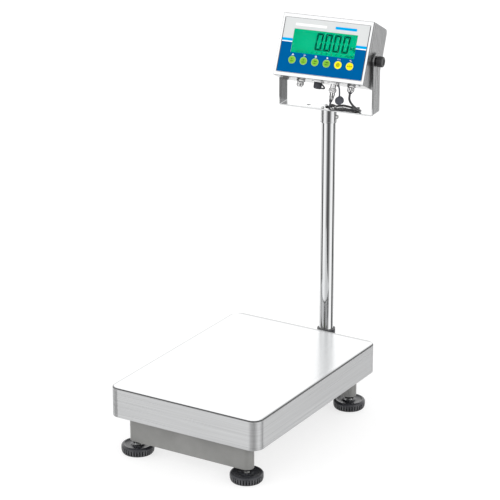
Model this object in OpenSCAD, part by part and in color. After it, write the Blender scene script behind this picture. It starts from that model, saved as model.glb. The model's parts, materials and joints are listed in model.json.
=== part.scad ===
// Bench scale: a lift-off pan on a load-cell base with four levelling feet, and a
// tilting indicator held in a U-bracket on a pillar behind the pan.
// Millimetres. The floor is z = 0, +X is to the right, -Y is the side the user stands at.

/* [Pan] */
// Width of the pan, side to side
pan_w = 300; // [290:5:330]
// Length of the pan, front to back
pan_l = 420; // [416:2:440]
// Height of the pan's top above the floor
pan_top = 125; // [125:1:132]
// Height of the pan's skirt
skirt_h = 54; // [44:1:56]
// Thickness of the pan's sheet
pan_t = 1.5; // [1:0.25:2]
// Radius of the pan's corners, seen from above
pan_corner = 19; // [14:1:26]
// Radius of the bend along the pan's top edge
pan_edge = 3; // [2:0.5:4]

/* [Base] */
// Distance of each foot from the middle, sideways
foot_x = 110.6; // [106:0.2:114]
// Distance of each foot from the middle, front to back
foot_y = 180; // [176:1:180]
// Radius of a foot's disc
foot_r = 29.2; // [24:0.2:30]
// Number of finger grooves round a foot's disc
foot_grooves = 32; // [20:2:36]
// Width of the two cross beams
beam_w = 26; // [24:1:30]
// Height of the beams' underside above the floor
beam_bottom = 24; // [22:1:26]
// Height of the beams
beam_h = 42; // [40:1:42]
// Width of the spine between the beams
spine_w = 60; // [56:2:64]
// Length of the load cell
cell_l = 150; // [140:5:160]
// Width of the load cell
cell_w = 40; // [36:1:42]

/* [Pillar] */
// Distance of the pillar from the middle of the pan
pillar_y = 290; // [285:1:300]
// Outer diameter of the pillar
pillar_d = 27; // [26:0.5:28]
// Wall of the pillar's tube
pillar_t = 2; // [1.5:0.5:2.5]
// Height of the pillar's top end, where the sleeve's top lies on it
pillar_top = 514; // [480:2:560]
// Outer diameter of the sleeve on the pillar's top
sleeve_d = 30.6; // [30.4:0.2:32]
// Angle that the head is turned round the pillar, to the right
head_turn = 6; // [0:1:15]

/* [Bracket] */
// Width of the bracket over its arms
bracket_w = 184; // [184:1:188]
// Depth of the bracket's strip
bracket_depth = 32; // [30:1:34]
// Thickness of the bracket's strip
bracket_t = 2.5; // [2:0.5:2.5]
// Height of the tilt pivot above the bracket's underside
pivot_rise = 98; // [92:1:110]

/* [Indicator] */
// Angle that the face leans back from upright
face_lean = 24.8; // [20:0.2:30]
// Width of the indicator
case_w = 175; // [174:0.5:175]
// Height of the indicator's face
face_h = 114.5; // [112:0.5:118]
// Depth of the indicator at its top
case_d = 70; // [69:1:74]
// Depth of the indicator's underside
under_d = 46.6; // [44:0.2:50]
// Thickness of the indicator's sheet
case_t = 1.5; // [1:0.25:1.75]
// Width of the display window
window_w = 123; // [110:1:124]
// Height of the display window
window_h = 43; // [36:1:44]
// Spacing of the keys
key_pitch = 22.33; // [20:0.5:23]
// Diameter of a key
key_d = 14; // [10:0.5:15]
// Travel of a key
key_travel = 0.5; // [0.3:0.1:0.5]

/* [Leads] */
// Diameter of the load cell's lead
signal_d = 3.4; // [3:0.2:3.8]
// Diameter of the supply lead
supply_d = 4; // [3.6:0.2:4.2]

/* [Hidden] */
$fn = 64;
eps = 0.01;
running = 0.05;       // radial clearance of a turning or sliding fit
steel_sheet = 3;      // wall of the folded and tubular steel in the base

beam_top = beam_bottom + beam_h;
spine_bottom = 30;
spine_top = 60;
spine_l = 2 * foot_y - beam_w;
flange_w = 100;
flange_t = 4;
flange_screw_x = 37;
lead_z = 45;          // height of the lead's way through the frame
lead_hole_r = 6;

spacer_t = 5;
cell_h = 25;
cell_z = spine_top + spacer_t;
cell_top = cell_z + cell_h;
cell_bolt_y = [48, 66];
plate_z = cell_top + spacer_t;
plate_t = 5;
bar_z = plate_z + plate_t;
bar_h = 15;
bar_l = 264;
bar_w = 30;
pad_x = 118;
pad_r = 12;
stop_x = 70;
stop_gap = 0.8;       // how far the top frame sinks before a stop takes the load
stop_r = 4;
screw_r = 3;          // shank of the frame screws
clear_r = 3.3;        // a hole that a frame screw passes through
bolt_flats = 13;

disc_h = 14;          // fluted rim of a foot
disc_top = 16.2;
disc_chamfer = 2.7;
stud_r = 5;
stud_top = 58;

socket_z = spine_top;
socket_top = 95;
socket_r = 17;
socket_flange_r = 25;
socket_screw_r = 20.8;
pillar_z = socket_z + 4;
level_y = 236;

sleeve_z = pillar_top - 17;
bracket_z = pillar_top + 7;
plate_top = bracket_z + bracket_t;
arm_in = bracket_w / 2 - bracket_t;
pivot_z = bracket_z + pivot_rise;
bracket_screw_r = 12;
grommet_r = 6;
lead_gap = 2.3;       // half the spacing of the two leads inside the pillar
lead_split_z = pillar_top + 5;

// The indicator's own frame has its origin on the tilt pivot, +Z up the face.
pivot_up = 50.5;      // pivot above the face's lower edge
pivot_in = 35;        // pivot behind the face
face_y = -pivot_in;
bottom_z = -pivot_up;
top_z = face_h - pivot_up;
bezel_d = 10;
slope_z = -10;        // where the back starts to slope in towards the underside
back_round = 8;
overlay_w = 165;
overlay_h = 99.5;
overlay_t = 0.7;
overlay_low = 7.2;    // overlay's lower edge above the face's lower edge
window_low = 44.2;    // window's lower edge above the face's lower edge
key_up = 30.4;        // keys' centres above the face's lower edge
port_in = 22;         // connectors' axes behind the face
port_x = [-41, -7, 23, 57];
port_r = 5.2;
port_nut_r = 6.6;
case_screw_x = 76;
case_screw_y = face_y + bezel_d + 2.5;
case_screw_r = 1.5;
boss_r = 8;           // pivot bosses in the case's side walls
boss_l = 14;
knob_r = 9.6;
knob_l = 12;
knob_stud_r = 3;

// Where the whole is placed: the middle of its outline lies on the Z axis.
front_edge = -pan_l / 2;
head_back = (top_z - back_round) * sin(face_lean)
  + (case_d - pivot_in - back_round) * cos(face_lean) + back_round;
back_edge = pillar_y + head_back * cos(head_turn) + case_w / 2 * sin(head_turn);
middle_y = (front_edge + back_edge) / 2;

steel = "#c9cccf";
chrome_like = "#dfe2e6";
grey_paint = "#8f918f";
black = "#1d1e21";
nickel = "#b9b6ad";
alloy = "#b4b7ba";

// ---------- shared shapes ----------

module placed() translate([0, -middle_y, 0]) children();

module on_head() placed() translate([0, pillar_y, 0]) rotate([0, 0, head_turn]) children();

module on_indicator()
  on_head() translate([0, 0, pivot_z]) rotate([-face_lean, 0, 0]) children();

// A point of the indicator, in the head's frame
function from_face(x, up, depth) = [x,
  (up - pivot_up) * sin(face_lean) + (depth - pivot_in) * cos(face_lean),
  pivot_z + (up - pivot_up) * cos(face_lean) - (depth - pivot_in) * sin(face_lean)];

module along_x() rotate([0, 90, 0]) children();

module along_y() rotate([-90, 0, 0]) children();

module rounded_rect(w, l, r) {
  square([w - 2 * r, l], center = true);
  square([w, l - 2 * r], center = true);
  for (x = [-1, 1], y = [-1, 1]) translate([x * (w / 2 - r), y * (l / 2 - r)]) circle(r);
}

module slab(w, l, h, r) linear_extrude(h) rounded_rect(w, l, r);

module stadium(l, w) {
  square([l - w, w], center = true);
  for (x = [-1, 1]) translate([x * (l - w) / 2, 0]) circle(w / 2);
}

module ring(outer, inner, h) difference() {
  cylinder(h = h, r = outer);
  translate([0, 0, -1]) cylinder(h = h + 2, r = inner);
}

// Hexagonal nut with its bore, resting on z = 0
module nut(across, h, bore) difference() {
  cylinder(h = h, d = across / cos(30), $fn = 6);
  translate([0, 0, -1]) cylinder(h = h + 2, r = bore);
}

// Socket-head screw: head above z = 0, shank below
module cap_screw(r, l, head_r, head_h) difference() {
  union() {
    translate([0, 0, -l]) cylinder(h = l + eps, r = r);
    cylinder(h = head_h, r = head_r);
  }
  translate([0, 0, head_h / 2]) cylinder(h = head_h, d = head_r * 1.1, $fn = 6);
}

// Pan-head screw with a cross slot: head above z = 0, shank below
module pan_screw(r, l, head_r, head_h) difference() {
  union() {
    translate([0, 0, -l]) cylinder(h = l + eps, r = r);
    cylinder(h = head_h, r1 = head_r, r2 = head_r * 0.7);
  }
  for (a = [0, 90]) rotate([0, 0, a]) translate([0, 0, head_h])
    cube([head_r * 1.1, head_r * 0.28, head_h], center = true);
}

// A round lead swept along points, with a ring of sides at each point. The first ring's
// side direction is carried from ring to ring, so that the tube doesn't twist.
function unit(v) = v / norm(v);
function heading(path, i) = unit(path[min(i + 1, len(path) - 1)] - path[max(i - 1, 0)]);
function side_of(t) = unit(cross(t, abs(t[2]) > 0.9 ? [0, 1, 0] : [0, 0, 1]));
function carried(path, i, a) = i == len(path) ? [] :
  let (t = heading(path, i), b = unit(a - (a * t) * t)) concat([b], carried(path, i + 1, b));

module lead(path, d, sides) {
  across = carried(path, 0, side_of(heading(path, 0)));
  rings = [for (i = [0:len(path) - 1])
    let (a = across[i], b = cross(heading(path, i), a))
    for (k = [0:sides - 1])
      path[i] + d / 2 * (cos(360 * k / sides) * a + sin(360 * k / sides) * b)];
  last = (len(path) - 1) * sides;
  faces = concat(
    [[for (k = [0:sides - 1]) k]],
    [for (i = [0:len(path) - 2], k = [0:sides - 1])
      let (n = (k + 1) % sides, p = i * sides)
      [p + k, p + sides + k, p + sides + n, p + n]],
    [[for (k = [sides - 1:-1:0]) last + k]]);
  polyhedron(points = rings, faces = faces);
}

// ---------- base ----------

module cross_beam(side) {
  rib_inner = 30;
  rib_outer = 44;
  pocket_end = 94;
  wall = 3;
  difference() {
    translate([0, side * foot_y, beam_bottom]) linear_extrude(beam_h)
      stadium(2 * foot_x + beam_w, beam_w);
    translate([0, side * foot_y, beam_bottom - 1]) {
      translate([-rib_inner, -beam_w / 2 + wall, 0])
        cube([2 * rib_inner, beam_w - 2 * wall, beam_h - 3]);
      for (s = [-1, 1]) translate([s > 0 ? rib_outer : -pocket_end, -beam_w / 2 + wall, 0])
        cube([pocket_end - rib_outer, beam_w - 2 * wall, beam_h - 3]);
    }
    for (s = [-1, 1]) {
      translate([s * foot_x, side * foot_y, beam_bottom - 1])
        cylinder(h = stud_top - beam_bottom + 3, r = stud_r + running);
      translate([s * stop_x, side * foot_y, beam_top - 10]) cylinder(h = 20, r = stop_r + running);
      translate([s * flange_screw_x, side * foot_y, lead_z])
        along_y() translate([0, 0, side > 0 ? -beam_w : 0])
          cylinder(h = side > 0 ? 2 * beam_w : beam_w, r = screw_r + running);
    }
    if (side > 0) translate([0, foot_y, lead_z])
      along_y() translate([0, 0, -beam_w]) cylinder(h = 2 * beam_w, r = lead_hole_r);
  }
}

module front_beam() color(grey_paint) placed() cross_beam(-1);

module rear_beam() color(grey_paint) placed() cross_beam(1);

module flange(y) difference() {
  translate([-flange_w / 2, y, spine_bottom - 2])
    cube([flange_w, flange_t, spine_top - spine_bottom + 4 - 2]);
  translate([0, y - 1, lead_z]) along_y() cylinder(h = flange_t + 2, r = lead_hole_r);
  for (s = [-1, 1]) translate([s * flange_screw_x, y - 1, lead_z])
    along_y() cylinder(h = flange_t + 2, r = clear_r);
}

module spine() color(grey_paint) placed() {
  tube_l = spine_l - 2 * flange_t;
  flange(-spine_l / 2);
  flange(spine_l / 2 - flange_t);
  difference() {
    translate([-spine_w / 2, -tube_l / 2 - eps, spine_bottom])
      cube([spine_w, tube_l + 2 * eps, spine_top - spine_bottom]);
    translate([-spine_w / 2 + steel_sheet, -spine_l, spine_bottom + steel_sheet])
      cube([spine_w - 2 * steel_sheet, 2 * spine_l, spine_top - spine_bottom - 2 * steel_sheet]);
    for (y = cell_bolt_y) translate([0, y, spine_bottom]) {
      translate([0, 0, -1]) cylinder(h = 10, r = 8);
      cylinder(h = 60, r = clear_r);
    }
    translate([0, 104, lead_z]) cylinder(h = 40, r = lead_hole_r);
  }
}

module frame_screw() cap_screw(screw_r, 16, 5, 6);

// Six screws hold the spine and the pillar bracket to the beams, and four hold the load cell.
module frame_screws() color(steel) placed() {
  for (s = [-1, 1]) translate([s * flange_screw_x, 0, lead_z]) {
    translate([0, -spine_l / 2 + flange_t, 0]) rotate([-90, 0, 0]) frame_screw();
    translate([0, spine_l / 2 - flange_t, 0]) rotate([90, 0, 0]) frame_screw();
    translate([0, foot_y + beam_w / 2 + flange_t, 0]) rotate([-90, 0, 0]) frame_screw();
  }
  for (y = cell_bolt_y) {
    translate([0, y, spine_top - steel_sheet]) rotate([180, 0, 0]) frame_screw();
    translate([0, -y, plate_z + plate_t]) frame_screw();
  }
}

module lock_nuts() color(black) placed() for (x = [-1, 1], y = [-1, 1])
  translate([x * foot_x, y * foot_y, beam_bottom - 5]) nut(16, 5, stud_r + running);

module overload_stops() color(steel) placed() for (x = [-1, 1], y = [-1, 1])
  translate([x * stop_x, y * foot_y, 0]) {
    stop_top = bar_z - stop_gap;
    translate([0, 0, beam_top - 8]) cylinder(h = stop_top - beam_top + 4, r = stop_r);
    translate([0, 0, stop_top - 5.3]) cylinder(h = 5.3, d = bolt_flats / cos(30), $fn = 6);
    translate([0, 0, beam_top]) cylinder(h = 6, d = bolt_flats / cos(30), $fn = 6);
  }

// Single-point load cell: two joined bores along X leave thin webs above and below them.
module load_cell() color(alloy) placed() difference() {
  translate([-cell_w / 2, -cell_l / 2, cell_z]) cube([cell_w, cell_l, cell_h]);
  for (y = [-13, 13]) translate([-cell_w, y, cell_z + cell_h / 2])
    along_x() cylinder(h = 2 * cell_w, r = 9.5);
  translate([-cell_w, -13, cell_z + cell_h / 2 - 3]) cube([2 * cell_w, 26, 6]);
  for (y = cell_bolt_y) {
    translate([0, y, cell_z - 1]) cylinder(h = 16, r = screw_r + running);
    translate([0, -y, cell_top - 15]) cylinder(h = 16, r = screw_r + running);
  }
}

module cell_spacers() color(steel) placed() for (s = [-1, 1]) difference() {
  translate([-cell_w / 2 + 2, s * 57 - 18, s > 0 ? spine_top : cell_top])
    cube([cell_w - 4, 36, spacer_t]);
  for (y = cell_bolt_y) translate([0, s * y, spine_top - 1]) cylinder(h = 60, r = clear_r);
}

module top_frame() color(grey_paint) placed() difference() {
  union() {
    translate([-45, -foot_y - bar_w / 2, plate_z]) cube([90, 2 * foot_y + bar_w, plate_t]);
    for (s = [-1, 1]) difference() {
      translate([-bar_l / 2, s * foot_y - bar_w / 2, bar_z - eps]) cube([bar_l, bar_w, bar_h + eps]);
      translate([-bar_l, s * foot_y - bar_w / 2 + 2, bar_z + 2])
        cube([2 * bar_l, bar_w - 4, bar_h - 4]);
    }
  }
  for (y = cell_bolt_y) translate([0, -y, plate_z - 1]) cylinder(h = 20, r = clear_r);
  for (x = [-1, 1], y = [-1, 1]) translate([x * pad_x, y * foot_y, bar_z + bar_h - 5])
    cylinder(h = 20, r = 4);
}

module pan_pads() color(black) placed() for (x = [-1, 1], y = [-1, 1])
  translate([x * pad_x, y * foot_y, bar_z + bar_h]) {
    cylinder(h = pan_top - pan_t - bar_z - bar_h, r = pad_r);
    translate([0, 0, -6]) cylinder(h = 6 + eps, r = 3.9);
  }

// ---------- pillar ----------

module bracket_plan(inset) {
  half = 25 - inset;
  y0 = foot_y + beam_w / 2 + flange_t;
  translate([-half, y0 - eps]) square([2 * half, pillar_y - y0 + eps]);
  translate([0, pillar_y]) circle(half);
}

module pillar_bracket() color(grey_paint) placed() {
  flange(foot_y + beam_w / 2);
  difference() {
    translate([0, 0, spine_bottom]) linear_extrude(spine_top - spine_bottom) bracket_plan(0);
    translate([0, 0, spine_bottom - 1])
      linear_extrude(spine_top - spine_bottom + 1 - steel_sheet) bracket_plan(steel_sheet);
    translate([0, pillar_y, spine_bottom]) cylinder(h = 60, r = 9);
    for (a = [45:90:315]) translate([0, pillar_y, spine_top - 10]) rotate([0, 0, a])
      translate([socket_screw_r, 0, 0]) cylinder(h = 20, r = 2 + running);
    translate([0, level_y, spine_top - 10]) cylinder(h = 20, r = 3 + running);
    translate([0, pillar_y, lead_z]) along_y() cylinder(h = 60, r = 4 + running);
  }
}

module pillar_socket() color(black) placed() translate([0, pillar_y, socket_z]) difference() {
  union() {
    cylinder(h = 6, r = socket_flange_r);
    cylinder(h = socket_top - socket_z, r = socket_r);
  }
  translate([0, 0, -1]) cylinder(h = 80, r = 9);
  translate([0, 0, pillar_z - socket_z]) cylinder(h = 80, r = pillar_d / 2 + running);
  for (a = [45:90:315]) rotate([0, 0, a]) translate([socket_screw_r, 0, -1])
    cylinder(h = 20, r = 2.2);
  translate([0, 0, 24]) along_y() cylinder(h = 40, r = 3 + running);
}

// Four flange screws, and the grub screw that holds the tube
module socket_screws() color(steel) placed() translate([0, pillar_y, socket_z]) {
  for (a = [45:90:315]) rotate([0, 0, a]) translate([socket_screw_r, 0, 6])
    cap_screw(2, 9, 3.4, 4);
  translate([0, pillar_d / 2, 24]) along_y() difference() {
    cylinder(h = 5, r = 3);
    translate([0, 0, 3]) cylinder(h = 5, d = 3, $fn = 6);
  }
}

module pillar_tube() color(chrome_like) placed() translate([0, pillar_y, pillar_z])
  ring(pillar_d / 2, pillar_d / 2 - pillar_t, pillar_top - pillar_z);

module level_body() color(black) placed() translate([0, level_y, spine_top]) difference() {
  union() {
    cylinder(h = 9, r = 12);
    translate([0, 0, -6]) cylinder(h = 7, r = 3);
  }
  translate([0, 0, 2]) cylinder(h = 20, r = 9);
}

module level_vial() color("#b8d86a", 0.7) placed() translate([0, level_y, spine_top + 2]) {
  cylinder(h = 6, r = 9);
  translate([0, 0, 6 - eps]) cylinder(h = 1.4, r1 = 9, r2 = 7.5);
}

module supply_inlet() color(black) placed() translate([0, pillar_y + 25, lead_z]) {
  along_y() difference() {
    union() {
      translate([0, 0, -14]) cylinder(h = 14 + eps, r = 4);
      cylinder(h = 2, r = 6.5);
    }
    translate([0, 0, -9]) cylinder(h = 30, r = 2.75);
  }
  along_y() translate([0, 0, -9]) cylinder(h = 9, r = 1);
}

// The two held leads meet in the pillar and go up it side by side.
function in_pillar(side, z) = [-side * lead_gap * sin(head_turn),
  pillar_y + side * lead_gap * cos(head_turn), z];
load_base_route = concat([[0, 75, 77], [0, 84, 77], [0, 94, 75], [0, 101, 69], [0, 104, 60],
  [0, 107, 51], [0, 116, 46], [0, 130, 45], [0, 160, 45], [0, 200, 45], [0, 240, 45],
  [0, 265, 45], [0, 275, 47], [0, 283, 53]],
  [for (z = [64, 80, 200, 360, lead_split_z]) in_pillar(-1, z)]);
supply_base_route = concat([[0, 301, 45], [0, 299, 45], [0, 296, 47.5], [0, 293.5, 53]],
  [for (z = [64, 80, 200, 360, lead_split_z]) in_pillar(1, z)]);

module load_lead_base() color(black) placed() lead(load_base_route, signal_d, 8);

module supply_lead_base() color(black) placed() lead(supply_base_route, supply_d, 8);

// ---------- pan ----------

// Section of the skirt, from the inside of the corner at x = 0 out to the skirt at x = r
module skirt_section(r, inner_top) {
  low = -skirt_h;
  arc = [for (a = [90:-15:0]) [r - pan_edge + pan_edge * cos(a), -pan_edge + pan_edge * sin(a)]];
  polygon(concat([[0, 0]], arc, [[r, low], [r - pan_t, low], [r - pan_t, -pan_t - 1],
    [r - pan_t - 1, -pan_t], [0, -pan_t]]));
}

module pan() color(chrome_like) placed() translate([0, 0, pan_top]) {
  x0 = pan_w / 2 - pan_corner;
  y0 = pan_l / 2 - pan_corner;
  translate([-x0, -y0, -pan_t]) cube([2 * x0, 2 * y0, pan_t]);
  for (q = [0:3]) {
    x = q == 0 || q == 3 ? x0 : -x0;
    y = q < 2 ? y0 : -y0;
    translate([x, y, 0]) rotate([0, 0, 90 * q]) rotate_extrude(angle = 90) skirt_section(pan_corner);
  }
  for (s = [-1, 1]) {
    translate([s * x0, -s * y0, 0]) rotate([90, 0, s > 0 ? 0 : 180]) mirror([0, 0, 1])
      linear_extrude(2 * y0) skirt_section(pan_corner);
    translate([s * x0, s * y0, 0]) rotate([90, 0, s > 0 ? 90 : 270]) mirror([0, 0, 1])
      linear_extrude(2 * x0) skirt_section(pan_corner);
  }
}

// ---------- feet ----------

module foot_stud(x, y) color(steel) placed() translate([x * foot_x, y * foot_y, 0])
  translate([0, 0, 6]) cylinder(h = stud_top - 6, r = stud_r);

module foot_disc(x, y) color(black) placed() translate([x * foot_x, y * foot_y, 0]) difference() {
  union() {
    cylinder(h = disc_h, r = foot_r);
    translate([0, 0, disc_h]) cylinder(h = disc_top - disc_h, r1 = foot_r, r2 = foot_r - disc_chamfer);
  }
  for (i = [0:foot_grooves - 1]) rotate([0, 0, 360 * i / foot_grooves])
    translate([foot_r + 0.5, 0, 2]) cylinder(h = disc_h + 3, r = 1.7, $fn = 24);
  translate([0, 0, disc_top - 1]) ring(foot_r - 8, 9, 2);
  translate([0, 0, 5]) cylinder(h = 40, r = stud_r + running);
}

module foot_stud_fl() foot_stud(-1, -1);
module foot_stud_fr() foot_stud(1, -1);
module foot_stud_rl() foot_stud(-1, 1);
module foot_stud_rr() foot_stud(1, 1);
module foot_disc_fl() foot_disc(-1, -1);
module foot_disc_fr() foot_disc(1, -1);
module foot_disc_rl() foot_disc(-1, 1);
module foot_disc_rr() foot_disc(1, 1);

// ---------- head ----------

module head_sleeve() color(chrome_like) on_head() difference() {
  union() {
    translate([0, 0, sleeve_z]) cylinder(h = bracket_z - sleeve_z, d = sleeve_d);
    translate([0, 0, sleeve_z]) cylinder(h = 2, d = sleeve_d + 1);
  }
  translate([0, 0, sleeve_z - 1]) cylinder(h = pillar_top - sleeve_z + 1, r = pillar_d / 2 + running);
  cylinder(h = 2 * bracket_z, r = 5.5);
  for (a = [45:90:315]) rotate([0, 0, a]) translate([bracket_screw_r, 0, pillar_top + 1])
    cylinder(h = 20, r = 2);
  translate([0, 0, sleeve_z + 10]) along_x() cylinder(h = 30, r = 2.5);
}

module sleeve_screw() color(steel) on_head() translate([pillar_d / 2 + 0.1, 0, sleeve_z + 10])
  along_x() difference() {
    union() {
      cylinder(h = 3, r = 2.5);
      translate([0, 0, sleeve_d / 2 - pillar_d / 2]) cylinder(h = 2.4, r = 4);
    }
    translate([0, 0, 2.8]) cylinder(h = 4, d = 3, $fn = 6);
  }

// Front view of the U-shaped strip; its lower corners are bent round
module strip_outline(half, low, r) {
  translate([-half + r, low]) square([2 * half - 2 * r, pivot_z - low]);
  translate([-half, low + r]) square([2 * half, pivot_z - low - r]);
  for (s = [-1, 1]) translate([s * (half - r), low + r]) circle(r);
}

module bracket() color(steel) on_head() difference() {
  union() {
    translate([0, bracket_depth / 2, 0]) rotate([90, 0, 0]) linear_extrude(bracket_depth)
      difference() {
        strip_outline(bracket_w / 2, bracket_z, 4);
        translate([0, 1]) strip_outline(arm_in, plate_top - 1, 1.5);
      }
    for (s = [-1, 1]) translate([s > 0 ? arm_in : -bracket_w / 2, 0, pivot_z])
      along_x() cylinder(h = bracket_t, r = bracket_depth / 2);
  }
  translate([-bracket_w, 0, pivot_z]) along_x() cylinder(h = 2 * bracket_w, r = knob_stud_r + running);
  translate([0, 0, bracket_z - 1]) {
    cylinder(h = 8, r = grommet_r);
    for (a = [45:90:315]) rotate([0, 0, a]) translate([bracket_screw_r, 0, 0])
      cylinder(h = 8, r = 2.25);
    for (s = [-1, 1]) translate([s * 40, 0, 0]) cylinder(h = 8, r = 3.25);
  }
}

module bracket_screws() color(steel) on_head() for (a = [45:90:315]) rotate([0, 0, a])
  translate([bracket_screw_r, 0, plate_top]) pan_screw(2, 6.5, 3.3, 2.4);

module lead_grommet() color(black) on_head() translate([0, 0, plate_top]) difference() {
  union() {
    translate([0, 0, -bracket_t - 0.5]) cylinder(h = bracket_t + 1, r = 5.4);
    cylinder(h = 1, r = 6.4);
  }
  translate([0, 0, -9]) cylinder(h = 20, r = 4.6);
}

// The spare length of both leads lies in one flat ring, wide at the pillar and narrow at
// the right, where it is tied.
hank_low = plate_top + 0.7;
hank_h = 4.2;
hank_mid = hank_low + hank_h / 2;
hank_wide = [28, -2];
hank_narrow = [52, 0];
module hank_outline(inset) hull() {
  translate(hank_wide) circle(16.2 - inset);
  translate(hank_narrow) circle(6 - inset);
}

module lead_hank() color(black) on_head() translate([0, 0, hank_low]) linear_extrude(hank_h)
  difference() {
    hank_outline(0);
    hank_outline(hank_h);
  }

// Cable tie round both runs of the hank, with its head and cut-off tail
tie_x = 53;
tie_w = 4;
tie_half = 7.6;
module hank_tie() color(black) on_head() {
  difference() {
    translate([tie_x, -tie_half, hank_low - 0.6]) cube([tie_w, 2 * tie_half, hank_h + 1.2]);
    translate([tie_x - 1, -tie_half + 0.7, hank_low - 0.1])
      cube([tie_w + 2, 2 * tie_half - 1.4, hank_h + 0.2]);
  }
  translate([tie_x - 0.6, -tie_half - 3.4, hank_mid - 1.4]) cube([tie_w + 1.2, 3.5, 4]);
  translate([tie_x + 1.5, -tie_half - 3, hank_mid]) rotate([0, 0, 20])
    translate([0, -12, 0]) cube([2.4, 12, 1]);
}

// Points in the head's frame, with their heights above the bracket's plate
function above_plate(points) = [for (p = points) [p[0], p[1], plate_top + p[2]]];

load_loop_route = concat(
  [from_face(port_x[2], -34, port_in), from_face(port_x[2], -38, port_in)],
  above_plate([[22.8, -51, 14.5], [22.4, -46, 10], [21.4, -38, 6.7], [20, -30, 4.5],
    [19.6, -25, 3.3], [22, -21.6, 2.9], [28, -20.3, 2.8], [32.7, -19.6, 2.8],
    [36.6, -18.1, 2.8], [40.8, -15.7, 2.8], [45, -13.3, 2.8], [48.5, -11.3, 2.8]]));
load_riser_route = concat([[0, -lead_gap, lead_split_z]],
  above_plate([[0, -2.3, -1.5], [1, -2.3, 1.5], [3, -2.3, 3.3], [5.6, -2.3, 3.9],
    [8.4, -2.3, 3.5], [11.5, -2.3, 2.9]]));
supply_loop_route = concat(
  [from_face(port_x[3], -14.5, port_in), from_face(port_x[3], -18, port_in)],
  above_plate([[57.4, -42.5, 32.5], [59, -39.5, 25.5], [62, -34.5, 18.5], [65, -27, 12],
    [66.4, -18.5, 7], [66, -11, 4.1], [63.8, -5.8, 3], [60.6, -3, 2.9]]));
supply_riser_route = concat([[0, lead_gap, lead_split_z]],
  above_plate([[0, 2.3, -1.1], [0.9, 2.3, 1.7], [3, 2.3, 3.7], [5.8, 2.3, 4.2],
    [8.6, 2.3, 3.7], [11.9, 2.3, 3]]));

module load_lead_loop() color(black) on_head() {
  lead(load_loop_route, signal_d, 8);
  lead(load_riser_route, signal_d, 8);
}

module supply_lead_loop() color(black) on_head() {
  lead(supply_loop_route, supply_d, 8);
  lead(supply_riser_route, supply_d, 8);
}

// ---------- indicator ----------

// Side view of the case, front to the left; inset shrinks it all round
module case_side(inset) {
  r = back_round - inset;
  f = face_y + bezel_d - 2;
  corner_y = case_d - pivot_in - back_round;
  corner_z = top_z - back_round;
  low_y = face_y + under_d - inset * 1.2;
  polygon(concat([[f, bottom_z + inset], [f, top_z - inset]],
    [for (a = [90:-15:0]) [corner_y + r * cos(a), corner_z + r * sin(a)]],
    [[case_d - pivot_in - inset, slope_z + inset * 0.3], [low_y, bottom_z + inset]]));
}

module extrude_side(w, inset) translate([-w / 2, 0, 0]) rotate([90, 0, 90])
  linear_extrude(w) case_side(inset);

module port_holes(r) for (x = port_x) translate([x, face_y + port_in, bottom_z - 2])
  cylinder(h = 6, r = r);

module rear_case() color(steel) on_indicator() difference() {
  extrude_side(case_w, 0);
  extrude_side(case_w - 2 * case_t, case_t);
  translate([-case_w, face_y - 10, -100]) cube([2 * case_w, bezel_d + 10, 200]);
  port_holes(port_r + running);
  for (s = [-1, 1]) translate([s * case_w / 2, 0, 0])
    along_x() translate([0, 0, -5]) cylinder(h = 10, r = boss_r + running);
  for (x = [-case_screw_x, case_screw_x], z = [bottom_z, top_z])
    translate([x, case_screw_y, z - 5]) cylinder(h = 10, r = case_screw_r + running);
}

module front_bezel() color(steel) on_indicator() difference() {
  union() {
    translate([-case_w / 2, face_y, bottom_z]) cube([case_w, bezel_d, face_h]);
    translate([-case_w / 2 + case_t, face_y + 4, bottom_z + case_t])
      cube([case_w - 2 * case_t, bezel_d + 1, face_h - 2 * case_t]);
  }
  translate([-case_w / 2 + 3.5, face_y + 2, bottom_z + 3.5])
    cube([case_w - 7, bezel_d + 10, face_h - 7]);
  translate([-overlay_w / 2, face_y - 1, bottom_z + overlay_low])
    cube([overlay_w, 1 + overlay_t, overlay_h]);
  translate([-window_w / 2 - 2, face_y - 1, bottom_z + window_low - 2])
    cube([window_w + 4, 10, window_h + 4]);
  key_places() translate([0, face_y - 1, 0]) along_y() cylinder(h = 5, r = key_d / 2 + 0.3);
  for (x = [-case_screw_x, case_screw_x], z = [bottom_z, top_z])
    translate([x, case_screw_y, z - 5]) cylinder(h = 10, r = case_screw_r + running);
}

module key_places() for (i = [0:5]) translate([(i - 2.5) * key_pitch, 0, bottom_z + key_up])
  children();

module overlay() color("#0b5fa5") on_indicator() difference() {
  translate([-overlay_w / 2, face_y, bottom_z + overlay_low]) cube([overlay_w, overlay_t, overlay_h]);
  translate([-window_w / 2, face_y - 1, bottom_z + window_low]) cube([window_w, 5, window_h]);
  key_places() translate([0, face_y - 1, 0]) along_y() cylinder(h = 5, r = key_d / 2 + 0.1);
}

module window_pane() color("#10251c", 0.5) on_indicator()
  translate([-window_w / 2 - 1.8, face_y + overlay_t, bottom_z + window_low - 1.8])
    cube([window_w + 3.6, 1.2, window_h + 3.6]);

module display_module() color("#0aa878") on_indicator()
  translate([-window_w / 2 - 4, face_y + 2, bottom_z + window_low - 4])
    cube([window_w + 8, 7, window_h + 8]);

module main_board() color("#1f6b3c") on_indicator() difference() {
  union() {
    translate([-76, face_y + 14, bottom_z + 8]) cube([152, 1.6, 98]);
    for (x = [-60:30:60]) translate([x, face_y + 15.6 - eps, bottom_z + 14]) cube([12, 7, 10]);
    translate([-30, face_y + 15.6 - eps, bottom_z + 30]) cube([16, 2, 10]);
    key_places() {
      translate([-3, face_y + 10, -3]) cube([6, 4 + eps, 6]);
      translate([0, face_y + 1.95, 0]) along_y() cylinder(h = 8.1, r = 1.7);
    }
  }
  for (x = [-71, 71], z = [14, 100]) translate([x, face_y, bottom_z + z])
    along_y() cylinder(h = 40, r = 1.7);
}

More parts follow.
